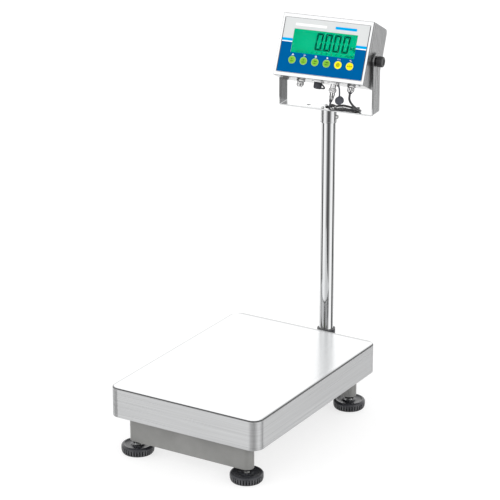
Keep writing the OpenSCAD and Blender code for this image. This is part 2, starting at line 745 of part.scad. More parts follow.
module battery() color("#33373c") on_indicator() translate([-50, -10, -8]) {
  cube([100, 41, 66]);
  for (x = [12, 82]) translate([x, -2, 52]) cube([6, 2 + eps, 8]);
}

module case_screw() pan_screw(case_screw_r, 5, 2.8, 1.2);

module case_screws() color(steel) on_indicator() for (x = [-case_screw_x, case_screw_x]) {
  translate([x, case_screw_y, top_z]) case_screw();
  translate([x, case_screw_y, bottom_z]) rotate([180, 0, 0]) case_screw();
}

// Threaded bosses in the side walls, each with the spacer disc that rubs on its arm
module pivot_bosses() color(alloy) on_indicator() for (s = [-1, 1])
  mirror([s > 0 ? 0 : 1, 0, 0]) translate([case_w / 2 - boss_l, 0, 0]) along_x() difference() {
    union() {
      cylinder(h = boss_l + arm_in - case_w / 2 - running, r = boss_r);
      translate([0, 0, boss_l - case_t - 2]) cylinder(h = 2, r = 12);
    }
    translate([0, 0, -1]) cylinder(h = 40, r = knob_stud_r + running);
  }

module port(x) translate([x, face_y + port_in, bottom_z]) rotate([180, 0, 0]) children();

// Cable glands: the left one is blanked, the right one holds the supply lead
gland_hex_h = 4;
gland_dome_h = 6;
gland_cone_h = 3;
gland_lip_h = 1.5;
module cable_glands() color(nickel) on_indicator() for (x = [port_x[0], port_x[3]]) port(x) {
  translate([0, 0, -8]) cylinder(h = 9, r = port_r);
  translate([0, 0, -case_t - 1.5]) cylinder(h = 1.5, r = port_nut_r);
  cylinder(h = gland_hex_h, d = 14 / cos(30), $fn = 6);
  translate([0, 0, gland_hex_h - eps]) cylinder(h = gland_dome_h + eps, r = 6.6);
  translate([0, 0, gland_hex_h + gland_dome_h - eps])
    cylinder(h = gland_cone_h + eps, r1 = 6.6, r2 = 4.5);
  translate([0, 0, gland_hex_h + gland_dome_h + gland_cone_h - eps])
    cylinder(h = gland_lip_h + eps, r = 4);
}

// Panel sockets: the left one is capped, the right one takes the load cell's plug
flange_side = 18;
module panel_sockets() color(nickel) on_indicator() for (x = [port_x[1], port_x[2]]) port(x)
  difference() {
    union() {
      translate([0, 0, -8]) cylinder(h = 8.5, r = port_r);
      translate([0, 0, -case_t - 1.5]) cylinder(h = 1.5, r = port_nut_r);
      translate([-flange_side / 2, -flange_side / 2, 0]) cube([flange_side, flange_side, 2]);
      translate([0, 0, 2 - eps]) cylinder(h = 7, r = 5.6);
    }
    translate([0, 0, 3]) cylinder(h = 20, r = 4.6);
  }

// Rubber cap pushed over the left socket, with its retaining loop
module socket_cap() color(black) on_indicator() port(port_x[1]) {
  difference() {
    union() {
      translate([0, 0, 2 + eps]) cylinder(h = 9, r = 7.4);
      translate([0, 0, 11]) cylinder(h = 2, r1 = 7.4, r2 = 6);
    }
    translate([0, 0, 1]) cylinder(h = 8.2, r = 5.65);
  }
  translate([6.6, 1.5, 3]) rotate([90, 0, 0]) linear_extrude(3) difference() {
    polygon([[0, 0], [2.5, 0], [8.4, 6.6], [8.4, 8.8], [6.6, 9.6], [0, 9.6]]);
    polygon([[2, 4.2], [5.6, 7.4], [2, 7.4]]);
  }
}

// Dust cap of the right socket, hanging straight down on its strap
cap_at = [35, -35, plate_top + 25.5];
strap_start = [for (x = [7, 9.5]) from_face(port_x[2] + x, -3.42, port_in)];
dust_route = concat(strap_start,
  above_plate([[34.2, -35.4, 49.5], [34.9, -35.2, 45.5], [35.1, -35, 39.5], [35, -35, 32.5]]));
module dust_cap() color(black) on_head() {
  lead(dust_route, 2.8, 10);
  translate(cap_at) rotate([90, 0, 0]) translate([0, 0, -4]) difference() {
    cylinder(h = 9, r = 7.4);
    translate([0, 0, -1]) cylinder(h = 7.5, r = 5.7);
  }
}

module plug_body() color(nickel) on_indicator() port(port_x[2]) {
  translate([0, 0, 3.2]) cylinder(h = 13, r = 4.5);
  translate([0, 0, 16]) cylinder(h = 10, r1 = 5.6, r2 = 4.4);
  translate([0, 0, 26]) cylinder(h = 8, r1 = 4.4, r2 = 2.6);
}

module plug_ring() color(nickel) on_indicator() port(port_x[2]) difference() {
  translate([0, 0, 9.2]) cylinder(h = 6.6, r = 7);
  translate([0, 0, 5]) cylinder(h = 20, r = 4.5 + running);
  for (i = [0:17]) rotate([0, 0, 20 * i]) translate([7.3, 0, 10]) cylinder(h = 5, r = 0.7, $fn = 16);
}

// The tilt is clamped by a fluted knob on the right; on the left the case pivots on a bolt.
module pivot_side(s) on_indicator() mirror([s > 0 ? 0 : 1, 0, 0])
  translate([bracket_w / 2 + running, 0, 0]) along_x() children();

module pivot_stud() translate([0, 0, -16]) cylinder(h = 16 + eps, r = knob_stud_r);

module pivot_bolt() color(steel) pivot_side(-1) {
  pivot_stud();
  cylinder(h = 1.2, r = 8);
  difference() {
    translate([0, 0, 1.2 - eps]) cylinder(h = 3.6, r1 = 6, r2 = 4.6);
    translate([0, 0, 2.6]) cylinder(h = 5, d = 4.6, $fn = 6);
  }
}

flutes = 18;
module clamp_knob() color(black) pivot_side(1) {
  pivot_stud();
  difference() {
    union() {
      cylinder(h = 1.6, r = 6);
      translate([0, 0, 1.5]) cylinder(h = knob_l - 2.5, r = knob_r);
      translate([0, 0, knob_l - 1 - eps]) cylinder(h = 1, r1 = knob_r, r2 = knob_r - 1);
    }
    for (i = [1:flutes]) rotate([0, 0, 360 * i / flutes]) translate([knob_r + 0.4, 0, 3])
      cylinder(h = knob_l, r = 1.1, $fn = 20);
    translate([0, 0, knob_l - 0.8]) cylinder(h = 2, r = 5);
  }
}

module key(i) color(i < 5 ? "#2fa84a" : "#e9c53a") on_indicator()
  translate([(i - 3.5) * key_pitch, face_y - 0.8, bottom_z + key_up]) along_y()
    cylinder(h = 2.2, r = key_d / 2);

module key_1() key(1);
module key_2() key(2);
module key_3() key(3);
module key_4() key(4);
module key_5() key(5);
module key_6() key(6);

front_beam();
rear_beam();
spine();
frame_screws();
lock_nuts();
overload_stops();
load_cell();
cell_spacers();
top_frame();
pan_pads();
pillar_bracket();
pillar_socket();
socket_screws();
pillar_tube();
level_body();
level_vial();
supply_inlet();
load_lead_base();
supply_lead_base();
pan();
foot_stud_fl();
foot_stud_fr();
foot_stud_rl();
foot_stud_rr();
foot_disc_fl();
foot_disc_fr();
foot_disc_rl();
foot_disc_rr();
head_sleeve();
sleeve_screw();
bracket();
bracket_screws();
lead_grommet();
lead_hank();
hank_tie();
load_lead_loop();
supply_lead_loop();
rear_case();
front_bezel();
overlay();
window_pane();
display_module();
main_board();
battery();
case_screws();
pivot_bosses();
cable_glands();
panel_sockets();
socket_cap();
dust_cap();
plug_body();
plug_ring();
pivot_bolt();
clamp_knob();
key_1();
key_2();
key_3();
key_4();
key_5();
key_6();
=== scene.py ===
"""Looks for the bench scale: camera, light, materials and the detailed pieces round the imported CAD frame."""
import json
import math

import bmesh
import bpy
from mathutils import Matrix, Vector


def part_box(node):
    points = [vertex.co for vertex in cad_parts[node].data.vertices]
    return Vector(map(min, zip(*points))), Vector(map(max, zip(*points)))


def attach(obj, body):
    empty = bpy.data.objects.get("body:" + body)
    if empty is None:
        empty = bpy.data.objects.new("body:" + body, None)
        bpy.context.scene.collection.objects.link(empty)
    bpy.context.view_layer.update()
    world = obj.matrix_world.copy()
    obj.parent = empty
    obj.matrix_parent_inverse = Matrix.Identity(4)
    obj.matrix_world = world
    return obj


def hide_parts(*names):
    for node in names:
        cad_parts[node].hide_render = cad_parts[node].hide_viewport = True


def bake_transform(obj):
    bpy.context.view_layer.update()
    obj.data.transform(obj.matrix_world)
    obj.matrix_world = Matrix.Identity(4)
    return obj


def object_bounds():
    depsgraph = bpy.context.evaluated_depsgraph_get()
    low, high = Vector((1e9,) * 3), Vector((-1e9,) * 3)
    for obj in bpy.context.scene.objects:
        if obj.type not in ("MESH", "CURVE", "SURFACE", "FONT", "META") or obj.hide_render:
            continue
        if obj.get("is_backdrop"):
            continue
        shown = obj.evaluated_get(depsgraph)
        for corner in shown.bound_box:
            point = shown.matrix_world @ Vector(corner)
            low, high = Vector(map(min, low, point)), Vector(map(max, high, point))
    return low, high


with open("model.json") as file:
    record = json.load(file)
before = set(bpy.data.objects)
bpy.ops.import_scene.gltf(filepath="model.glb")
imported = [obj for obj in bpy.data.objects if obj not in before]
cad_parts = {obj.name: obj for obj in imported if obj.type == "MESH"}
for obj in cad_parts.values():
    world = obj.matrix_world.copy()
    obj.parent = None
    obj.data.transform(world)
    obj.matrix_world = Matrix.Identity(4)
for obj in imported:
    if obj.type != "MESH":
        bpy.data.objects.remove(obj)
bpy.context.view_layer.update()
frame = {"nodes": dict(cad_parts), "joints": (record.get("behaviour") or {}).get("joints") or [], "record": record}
NODES = frame["nodes"]
JOINTS = {j["name"]: j for j in frame["joints"]}
MM = 0.001

# ---------- frames of the head and the indicator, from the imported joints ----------


def axes_matrix(x_axis, y_axis, z_axis, origin):
    m = Matrix((x_axis, y_axis, z_axis)).transposed().to_4x4()
    m.translation = origin
    return m


SWIVEL = Vector(JOINTS["head_swivel"]["pos_m"])
PIVOT = Vector(JOINTS["indicator_tilt"]["pos_m"])
HEAD_X = -Vector(JOINTS["indicator_tilt"]["axis"])
FACE_IN = Vector(JOINTS["key_1_press"]["axis"])
UP = Vector((0, 0, 1))
# Head frame: on the pillar's axis at floor height, in metres
HEAD = axes_matrix(HEAD_X, UP.cross(HEAD_X), UP, Vector((SWIVEL.x, SWIVEL.y, 0)))
# Indicator frame: on the tilt pivot, +Y into the case, +Z up the face
INDICATOR = axes_matrix(HEAD_X, FACE_IN, HEAD_X.cross(FACE_IN), PIVOT)

FACE_DEPTH = -0.035       # the face, from the pivot
FACE_LOW = -0.0505        # the face's lower edge, from the pivot
FACE_W, FACE_H = 0.175, 0.1145
OVERLAY_W, OVERLAY_H, OVERLAY_LOW = 0.165, 0.0995, 0.0072
WINDOW_W, WINDOW_H, WINDOW_LOW = 0.123, 0.043, 0.0442
KEY_PITCH, KEY_UP, KEY_R = 0.02233, 0.0304, 0.007
PORT_X = (-0.041, -0.007, 0.023, 0.057)
PORT_DEPTH = 0.022
BACK_SLOPE = 0.0405, -0.0234    # outward direction of the back's lower slope: into the case, up the face
PLATE_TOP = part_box("bracket")[0].z + 0.0025


def face_point(x, up, depth=0.0):
    """A point of the indicator's frame: x across, up from the face's lower edge, depth behind the face."""
    return Vector((x, FACE_DEPTH + depth, FACE_LOW + up))


# ---------- mesh helpers ----------


def new_object(name, bm, materials, smooth=True, angle=35):
    bmesh.ops.recalc_face_normals(bm, faces=bm.faces)
    mesh = bpy.data.meshes.new(name)
    bm.to_mesh(mesh)
    bm.free()
    for m in materials:
        mesh.materials.append(m)
    if smooth:
        mesh.shade_smooth()
        mesh.set_sharp_from_angle(angle=math.radians(angle))
    obj = bpy.data.objects.new(name, mesh)
    bpy.context.scene.collection.objects.link(obj)
    return obj


def finish_piece(obj, body, replaced=()):
    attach(obj, body)
    if replaced:
        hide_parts(*replaced)
    return obj


def plate(bm, outline, low, high, material=0):
    """A closed slab: outline is a list of (x, z) points, low and high are its faces along Y."""
    bottom = [bm.verts.new((x, low, z)) for x, z in outline]
    top = [bm.verts.new((x, high, z)) for x, z in outline]
    n = len(outline)
    faces = [bm.faces.new(bottom), bm.faces.new(top[::-1])]
    faces += [bm.faces.new((bottom[i], top[i], top[(i + 1) % n], bottom[(i + 1) % n])) for i in range(n)]
    for f in faces:
        f.material_index = material


def rect(x0, x1, z0, z1):
    return [(x0, z0), (x1, z0), (x1, z1), (x0, z1)]


def round_rect(x0, x1, z0, z1, r, steps=5):
    pts = []
    for cx, cz, a0 in ((x1 - r, z1 - r, 0), (x0 + r, z1 - r, 90), (x0 + r, z0 + r, 180), (x1 - r, z0 + r, 270)):
        for i in range(steps + 1):
            a = math.radians(a0 + 90 * i / steps)
            pts.append((cx + r * math.cos(a), cz + r * math.sin(a)))
    return pts


def disc(cx, cz, r, steps=28):
    return [(cx + r * math.cos(2 * math.pi * i / steps), cz + r * math.sin(2 * math.pi * i / steps))
            for i in range(steps)]


def ring_plate(bm, cx, cz, outer, inner, low, high, steps=32, material=0):
    rows = []
    for r, y in ((inner, low), (outer, low), (outer, high), (inner, high)):
        rows.append([bm.verts.new((cx + r * math.cos(2 * math.pi * i / steps), y,
                                   cz + r * math.sin(2 * math.pi * i / steps))) for i in range(steps)])
    for k in range(4):
        a, b = rows[k], rows[(k + 1) % 4]
        for i in range(steps):
            j = (i + 1) % steps
            bm.faces.new((a[i], b[i], b[j], a[j])).material_index = material


def lathe(bm, profile, steps=48, material=0, radius=None):
    """Turns (r, z) points round Z. The first and last points are on the axis or closed by a face.
    radius(r, z, angle) may change the radius, for knurls and flutes."""
    rings = []
    for r, z in profile:
        if r < 1e-7:
            rings.append([bm.verts.new((0, 0, z))])
            continue
        ring = []
        for i in range(steps):
            a = 2 * math.pi * i / steps
            rr = radius(r, z, a) if radius else r
            ring.append(bm.verts.new((rr * math.cos(a), rr * math.sin(a), z)))
        rings.append(ring)
    made = []
    for a, b in zip(rings, rings[1:]):
        if len(a) == 1 and len(b) == 1:
            continue
        for i in range(steps):
            j = (i + 1) % steps
            if len(a) == 1:
                made.append(bm.faces.new((a[0], b[j], b[i])))
            elif len(b) == 1:
                made.append(bm.faces.new((a[i], a[j], b[0])))
            else:
                made.append(bm.faces.new((a[i], a[j], b[j], b[i])))
    for ring in (rings[0], rings[-1]):
        if len(ring) > 1:
            made.append(bm.faces.new(ring))
    for f in made:
        f.material_index = material
    return made


def smooth_path(points, steps=6, closed=False):
    """Catmull-Rom curve through the points."""
    pts = [Vector(p) for p in points]
    n = len(pts)
    out = []
    for i in range(n if closed else n - 1):
        if closed:
            p0, p1, p2, p3 = pts[i - 1], pts[i], pts[(i + 1) % n], pts[(i + 2) % n]
        else:
            p1, p2 = pts[i], pts[i + 1]
            p0 = pts[i - 1] if i else p1 * 2 - p2
            p3 = pts[i + 2] if i + 2 < n else p2 * 2 - p1
        for s in range(steps):
            t = s / steps
            out.append(0.5 * (2 * p1 + (p2 - p0) * t + (2 * p0 - 5 * p1 + 4 * p2 - p3) * t * t
                              + (3 * p1 - p0 - 3 * p2 + p3) * t ** 3))
    if not closed:
        out.append(pts[-1])
    return out


def sweep(bm, path, radius, sides=14, closed=False, material=0, cap=True):
    """A round tube along a path. radius is a number, or a function of the share of the path."""
    n = len(path)
    tangents = []
    for i in range(n):
        a = path[i - 1] if (i or closed) else path[0]
        b = path[(i + 1) % n] if (i + 1 < n or closed) else path[-1]
        tangents.append((b - a).normalized())
    side = tangents[0].orthogonal().normalized()
    rings = []
    for i, (p, t) in enumerate(zip(path, tangents)):
        side = (side - side.dot(t) * t).normalized()
        other = t.cross(side)
        r = radius(i / (n - 1)) if callable(radius) else radius
        rings.append([bm.verts.new(p + r * (math.cos(2 * math.pi * k / sides) * side
                                            + math.sin(2 * math.pi * k / sides) * other)) for k in range(sides)])
    pairs = list(zip(rings, rings[1:]))
    for a, b in pairs:
        for k in range(sides):
            m = (k + 1) % sides
            bm.faces.new((a[k], a[m], b[m], b[k])).material_index = material
    if closed:
        a, b = rings[-1], rings[0]
        shift = min(range(sides), key=lambda s: (a[0].co - b[s].co).length)
        for k in range(sides):
            m = (k + 1) % sides
            bm.faces.new((a[k], a[m], b[(m + shift) % sides], b[(k + shift) % sides])).material_index = material
    elif cap:
        bm.faces.new(rings[0]).material_index = material
        bm.faces.new(rings[-1]).material_index = material


def place(bm, matrix):
    bmesh.ops.transform(bm, matrix=matrix, verts=bm.verts)


def port_matrix(x):
    """From a connector's own frame, +Z pointing out of the case's underside, to the row frame."""
    at = face_point(x, 0, PORT_DEPTH)
    return INDICATOR @ Matrix.Translation(at) @ Matrix.Rotation(math.pi, 4, "X")


# ---------- material helpers ----------


class Look:
    """A Principled material with short calls for the nodes round it. Coordinates are the row frame's, in metres."""

    def __init__(self, name, colour, roughness, metallic=0.0, **sockets):
        self.material = bpy.data.materials.new(name)
        self.material.use_nodes = True
        self.tree = self.material.node_tree
        self.shader = next(n for n in self.tree.nodes if n.type == "BSDF_PRINCIPLED")
        self.shader.inputs["Base Color"].default_value = (*colour, 1)
        self.shader.inputs["Roughness"].default_value = roughness
        self.shader.inputs["Metallic"].default_value = metallic
        for key, value in sockets.items():
            self.shader.inputs[key.replace("_", " ")].default_value = value
        self.where = self.node("ShaderNodeTexCoord").outputs["Object"]
        self.colour = colour

    def node(self, kind, **props):
        n = self.tree.nodes.new(kind)
        for key, value in props.items():
            setattr(n, key, value)
        return n

    def link(self, a, b):
        self.tree.links.new(a, b)

    def leaning(self, angle):
        """Coordinates turned about X, so that streaks can run along a leaning face."""
        m = self.node("ShaderNodeMapping")
        m.inputs["Rotation"].default_value = (angle, 0, 0)
        self.link(self.where, m.inputs["Vector"])
        self.where = m.outputs["Vector"]

    def stretched(self, scale):
        m = self.node("ShaderNodeMapping")
        m.inputs["Scale"].default_value = scale
        self.link(self.where, m.inputs["Vector"])
        return m.outputs["Vector"]

    def noise(self, scale, stretch=None, detail=3.0, rough=0.55):
        n = self.node("ShaderNodeTexNoise")
        n.inputs["Scale"].default_value = scale
        n.inputs["Detail"].default_value = detail
        n.inputs["Roughness"].default_value = rough
        self.link(self.stretched(stretch) if stretch else self.where, n.inputs["Vector"])
        return n.outputs["Fac"]

    def ramp(self, value, low, high, to_low, to_high):
        n = self.node("ShaderNodeMapRange")
        for key, number in (("From Min", low), ("From Max", high), ("To Min", to_low), ("To Max", to_high)):
            n.inputs[key].default_value = number
        self.link(value, n.inputs["Value"])
        return n.outputs["Result"]

    def mix(self, factor, a, b):
        n = self.node("ShaderNodeMix", data_type="RGBA")
        self.link(factor, n.inputs["Factor"])
        for socket, value in ((n.inputs[6], a), (n.inputs[7], b)):
            if isinstance(value, tuple):
                socket.default_value = (*value, 1)
            else:
                self.link(value, socket)
        return n.outputs[2]

    def mix_value(self, factor, a, b):
        n = self.node("ShaderNodeMix", data_type="FLOAT")
        self.link(factor, n.inputs["Factor"])
        for socket, value in ((n.inputs[2], a), (n.inputs[3], b)):
            if isinstance(value, (int, float)):
                socket.default_value = value
            else:
                self.link(value, socket)
        return n.outputs[0]

    def part_of(self, vector, axis):
        sep = self.node("ShaderNodeSeparateXYZ")
        self.link(vector, sep.inputs[0])
        return sep.outputs[axis]

    def math(self, operation, a, b=None):
        n = self.node("ShaderNodeMath", operation=operation)
        for socket, value in zip(n.inputs, (a, b)):
            if isinstance(value, (int, float)):
                socket.default_value = value
            elif value is not None:
                self.link(value, socket)
        return n.outputs[0]

    def normal(self, axis):
        """The normal's share along an axis, in the piece's own frame, so that it stays put when a joint moves."""
        return self.part_of(self.node("ShaderNodeTexCoord").outputs["Normal"], axis)

    def square_to(self, direction, low=0.982, high=0.996):
        """1 on surfaces square to a direction, 0 on the bends between them."""
        dot = self.node("ShaderNodeVectorMath", operation="DOT_PRODUCT")
        self.link(self.node("ShaderNodeTexCoord").outputs["Normal"], dot.inputs[0])
        dot.inputs[1].default_value = direction
        return self.ramp(self.math("ABSOLUTE", dot.outputs["Value"]), low, high, 0, 1)

    def facing(self, axis, low=0.6, high=0.75):
        """1 on surfaces that face along the axis (0, 1 or 2), 0 elsewhere."""
        return self.ramp(self.math("ABSOLUTE", self.normal(axis)), low, high, 0, 1)

    def past(self, axis, start, end):
        """On level surfaces, 0 before a place along an axis and 1 beyond a second one."""
        mask = self.ramp(self.part_of(self.where, axis), start, end, 0, 1)
        return self.math("MULTIPLY", mask, self.facing(2, 0.7, 0.8))

    def darker(self, colour, where, factor):
        """The colour, times the factor where the mask is 1."""
        n = self.node("ShaderNodeMix", data_type="RGBA", blend_type="MULTIPLY")
        self.link(where, n.inputs["Factor"])
        self.link(colour, n.inputs[6])
        n.inputs[7].default_value = (factor, factor, factor, 1)
        return n.outputs[2]

    def set_colour(self, output):
        self.link(output, self.shader.inputs["Base Color"])

    def set_roughness(self, output):
        self.link(output, self.shader.inputs["Roughness"])

    def bump(self, height, distance, strength=1.0):
        n = self.node("ShaderNodeBump")
        n.inputs["Distance"].default_value = distance
        n.inputs["Strength"].default_value = strength
        self.link(height, n.inputs["Height"])
        self.link(n.outputs["Normal"], self.shader.inputs["Normal"])


def tone(colour, factor):
    return tuple(min(1.0, c * factor) for c in colour)


def brushed(name, colour, roughness, along, spread=0.10, depth=0.000012, **sockets):
    """Brushed steel. along is the brushing's direction for each face: a stretch of the noise space."""
    look = Look(name, colour, roughness, 1.0, **sockets)
    fine = look.noise(1.0, along, detail=4.0)
    cloud = look.noise(14.0, detail=2.0)
    look.set_colour(look.mix(look.ramp(fine, 0.3, 0.7, 0, 1), tone(colour, 1 - spread), tone(colour, 1 + spread)))
    both = look.mix_value(look.ramp(cloud, 0.3, 0.7, 0.25, 0.75), fine, 0.5)
    look.set_roughness(look.ramp(both, 0.3, 0.7, roughness * 0.85, roughness * 1.2))
    look.bump(fine, depth)
    return look.material


def plastic(name, colour, roughness, grain=1800.0, depth=0.00002, spread=0.12, **sockets):
    """Moulded plastic or rubber: fine grain, and a slow change of tone and gloss."""
    look = Look(name, colour, roughness, **sockets)
    cloud = look.noise(60.0, detail=4.0)
    look.set_colour(look.mix(look.ramp(cloud, 0.3, 0.7, 0, 1), tone(colour, 1 - spread), tone(colour, 1 + spread)))
    look.set_roughness(look.ramp(cloud, 0.3, 0.7, roughness * 0.85, min(1.0, roughness * 1.2)))
    look.bump(look.noise(grain, detail=2.0), depth)
    return look.material


# ---------- materials ----------

STEEL = (0.60, 0.605, 0.61)


def pan_steel():
    look = Look("pan_steel", STEEL, 0.30, 1.0)
    top = look.noise(1.0, (1300, 9, 1300), detail=4.0)
    side = look.noise(1.0, (4, 4, 700), detail=5.0, rough=0.65)
    streak = look.mix_value(look.facing(2), side, top)
    cloud = look.noise(7.0, detail=3.0)
    skirt = look.mix(look.ramp(streak, 0.3, 0.7, 0, 1), tone(STEEL, 0.84), tone(STEEL, 1.12))
    level = look.mix(look.ramp(streak, 0.3, 0.7, 0, 1), tone(STEEL, 0.95), tone(STEEL, 1.05))
    flat = look.mix(look.facing(2), skirt, level)
    # Painted reflection: the bend from the level top down to the skirts is darkened to a thin dark line.
    bend = look.math("MULTIPLY", look.facing(2, 0.26, 0.44), look.math("SUBTRACT", 1.0, look.facing(2, 0.88, 0.97)))
    # Painted shade: faces that face along Y, the front and back skirts, are a darker copy of the steel.
    front = look.darker(flat, look.facing(1, 0.9, 0.97), 0.86)
    # Painted shade: on the level top, narrow bands along the left and right edges and a band along the back edge are
    # darkened.
    low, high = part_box("pan")
    rim, rim_in = 0.003, 0.005
    sides = look.math("MAXIMUM", look.past(0, low[0] + rim_in, low[0] + rim),
                      look.past(0, high[0] - rim_in, high[0] - rim))
    back = look.past(1, high[1] - 2 * rim_in, high[1] - rim_in)
    look.set_colour(look.darker(look.darker(look.darker(front, bend, 0.15), sides, 0.66), back, 0.60))
    corner = look.math("SUBTRACT", look.math("SUBTRACT", 1.0, look.facing(0, 0.98, 0.999)),
                       look.facing(1, 0.98, 0.999))
    mixed = look.mix_value(look.ramp(cloud, 0.3, 0.7, 0.3, 0.8), streak, 0.5)
    top_gloss = look.ramp(mixed, 0.3, 0.7, 0.12, 0.21)
    side_gloss = look.mix_value(corner, look.ramp(mixed, 0.3, 0.7, 0.24, 0.34), 0.5)
    look.set_roughness(look.mix_value(look.facing(2), side_gloss, top_gloss))
    look.bump(streak, 0.000014)
    return look.material


def frame_paint():
    base = (0.212, 0.212, 0.205)
    look = Look("frame_paint", base, 0.42)
    peel = look.noise(900.0, detail=2.0)
    cloud = look.noise(25.0, detail=5.0)
    look.set_colour(look.mix(look.ramp(cloud, 0.3, 0.7, 0, 1), tone(base, 0.9), tone(base, 1.1)))
    look.set_roughness(look.ramp(cloud, 0.3, 0.7, 0.36, 0.5))
    look.bump(peel, 0.00006)
    return look.material


def plated_steel():
    look = Look("plated_steel", (0.55, 0.56, 0.58), 0.3, 1.0)
    cloud = look.noise(320.0, detail=4.0)
    look.set_colour(look.mix(look.ramp(cloud, 0.35, 0.65, 0, 1), (0.48, 0.49, 0.50), (0.64, 0.64, 0.62)))
    look.set_roughness(look.ramp(cloud, 0.3, 0.7, 0.22, 0.42))
    look.bump(look.noise(2500.0), 0.00001)
    return look.material


def black_steel():
    look = Look("black_steel", (0.03, 0.03, 0.033), 0.35, 0.7)
    cloud = look.noise(300.0, detail=4.0)
    look.set_colour(look.mix(look.ramp(cloud, 0.3, 0.7, 0, 1), (0.018, 0.018, 0.02), (0.06, 0.06, 0.065)))
    look.set_roughness(look.ramp(cloud, 0.3, 0.7, 0.28, 0.5))
    return look.material


def cell_alloy():
    return brushed("cell_alloy", (0.66, 0.67, 0.68), 0.34, (40, 900, 40))


def pad_rubber():
    return plastic("pad_rubber", (0.018, 0.018, 0.019), 0.75, 1500.0, 0.00005)


def socket_black():
    return plastic("socket_black", (0.022, 0.022, 0.025), 0.38, 700.0, 0.00007, 0.2)


def pillar_steel():
    colour = (0.72, 0.725, 0.73)
    look = Look("pillar_steel", colour, 0.07, 1.0)
    lines = look.noise(1.0, (1500, 1500, 4), detail=3.0)
    rings = look.noise(1.0, (6, 6, 900), detail=2.0)
    look.set_colour(look.mix(look.ramp(lines, 0.3, 0.7, 0, 1), tone(colour, 0.95), tone(colour, 1.04)))
    look.set_roughness(look.ramp(rings, 0.3, 0.7, 0.05, 0.11))
    look.bump(lines, 0.000004)
    return look.material


def black_plastic():
    return plastic("black_plastic", (0.02, 0.02, 0.022), 0.42)


def vial():
    look = Look("vial", (0.55, 0.72, 0.16), 0.05, Coat_Weight=1.0)
    cloud = look.noise(120.0)
    look.set_colour(look.mix(look.ramp(cloud, 0.3, 0.7, 0, 1), (0.5, 0.68, 0.12), (0.62, 0.78, 0.24)))
    return look.material


def lead_jacket():
    return plastic("lead_jacket", (0.022, 0.023, 0.027), 0.34, 1200.0, 0.00003, 0.2)


def sleeve_steel():
    return brushed("sleeve_steel", (0.66, 0.665, 0.67), 0.14, (30, 30, 1200), 0.06)


def bracket_steel():
    look = Look("bracket_steel", STEEL, 0.24, 1.0)
    flat = look.noise(1.0, (9, 1200, 900), detail=4.0)
    upright = look.noise(1.0, (60, 420, 7), detail=5.0, rough=0.65)
    streak = look.mix_value(look.facing(0), flat, upright)
    flats = look.mix(look.ramp(streak, 0.3, 0.7, 0, 1), tone(STEEL, 0.92), tone(STEEL, 1.08))
    arms = look.mix(look.ramp(streak, 0.3, 0.7, 0, 1), tone(STEEL, 0.62), tone(STEEL, 0.98))
    plain = look.mix(look.facing(0), flats, arms)
    # Painted shade: the left arm's inner face is darkened, and above the plate every arm face that doesn't face
    # sideways, along the arms' edges, is darkened to a dark outline.
    inner = look.math("MULTIPLY", look.ramp(look.normal(0), 0.6, 0.75, 0, 1),
                      look.ramp(look.part_of(look.where, 0), -0.04, -0.02, 1, 0))
    raised = look.ramp(look.part_of(look.where, 2), PLATE_TOP + 0.008, PLATE_TOP + 0.014, 0, 1)
    arm_edges_painted_shade = look.math("MULTIPLY", raised, look.math("SUBTRACT", 1.0, look.facing(0, 0.8, 0.95)))
    look.set_colour(look.darker(look.darker(plain, inner, 0.42), arm_edges_painted_shade, 0.42))
    look.set_roughness(look.ramp(streak, 0.3, 0.7, 0.2, 0.3))
    look.bump(streak, 0.00001)
    return look.material


def case_steel():
    """Brushed lengthwise on the front and the underside, and coarsely up and down on the two ends."""
    colour = (0.60, 0.605, 0.61)
    look = Look("case_steel", colour, 0.24, 1.0)
    along = look.noise(1.0, (8, 1400, 1400), detail=4.0)
    look.leaning(math.atan2(FACE_IN.z, math.hypot(FACE_IN.x, FACE_IN.y)))
    coarse = look.noise(1.0, (60, 420, 7), detail=5.0, rough=0.7)
    ends = look.facing(0)
    front = look.mix(look.ramp(along, 0.3, 0.7, 0, 1), tone(colour, 0.93), tone(colour, 1.07))
    # The ends' coarse streaks are grain, and their darker overall tone is painted shade.
    side = look.mix(look.ramp(coarse, 0.34, 0.66, 0, 1), tone(colour, 0.48), tone(colour, 1.02))
    # Painted shade: the case's level faces, top and underside, are darkened.
    level = look.math("MULTIPLY", look.facing(2, 0.82, 0.9), look.math("SUBTRACT", 1.0, ends))
    # Painted shade: the rounded edges between the flat faces and the back's slope are darkened to a dark outline.
    face_up = HEAD_X.cross(FACE_IN)
    flats = look.math("MAXIMUM", look.square_to(HEAD_X), look.square_to(FACE_IN))
    flats = look.math("MAXIMUM", flats, look.square_to(face_up))
    slope = (FACE_IN * BACK_SLOPE[0] + face_up * BACK_SLOPE[1]).normalized()
    bends = look.math("SUBTRACT", 1.0, look.math("MAXIMUM", flats, look.square_to(slope)))
    look.set_colour(look.darker(look.darker(look.mix(ends, front, side), level, 0.66), bends, 0.15))
    look.set_roughness(look.mix_value(ends, look.ramp(along, 0.3, 0.7, 0.2, 0.29),
                                      look.ramp(coarse, 0.3, 0.7, 0.34, 0.22)))
    look.bump(look.mix_value(ends, along, coarse), 0.000014)
    return look.material


def tie_nylon():
    return plastic("tie_nylon", (0.02, 0.02, 0.022), 0.3, 900.0, 0.00002)


def overlay_film():
    """Off-white keypad film with a fine emboss."""
    return plastic("overlay_film", (0.655, 0.67, 0.67), 0.5, 3500.0, 0.00001, 0.012, Specular_IOR_Level=0.2)


def ink(name, colour):
    return plastic(name, colour, 0.5, 3500.0, 0.00001, 0.03, Specular_IOR_Level=0.0)


def window():
    """Clear pane with an anti-glare coat, as a faint veil over the display."""
    look = Look("window", (0.0, 0.20, 0.12), 0.03, Alpha=0.06)
    smear = look.noise(50.0, detail=4.0)
    look.set_roughness(look.ramp(smear, 0.4, 0.7, 0.0, 0.05))
    return look.material


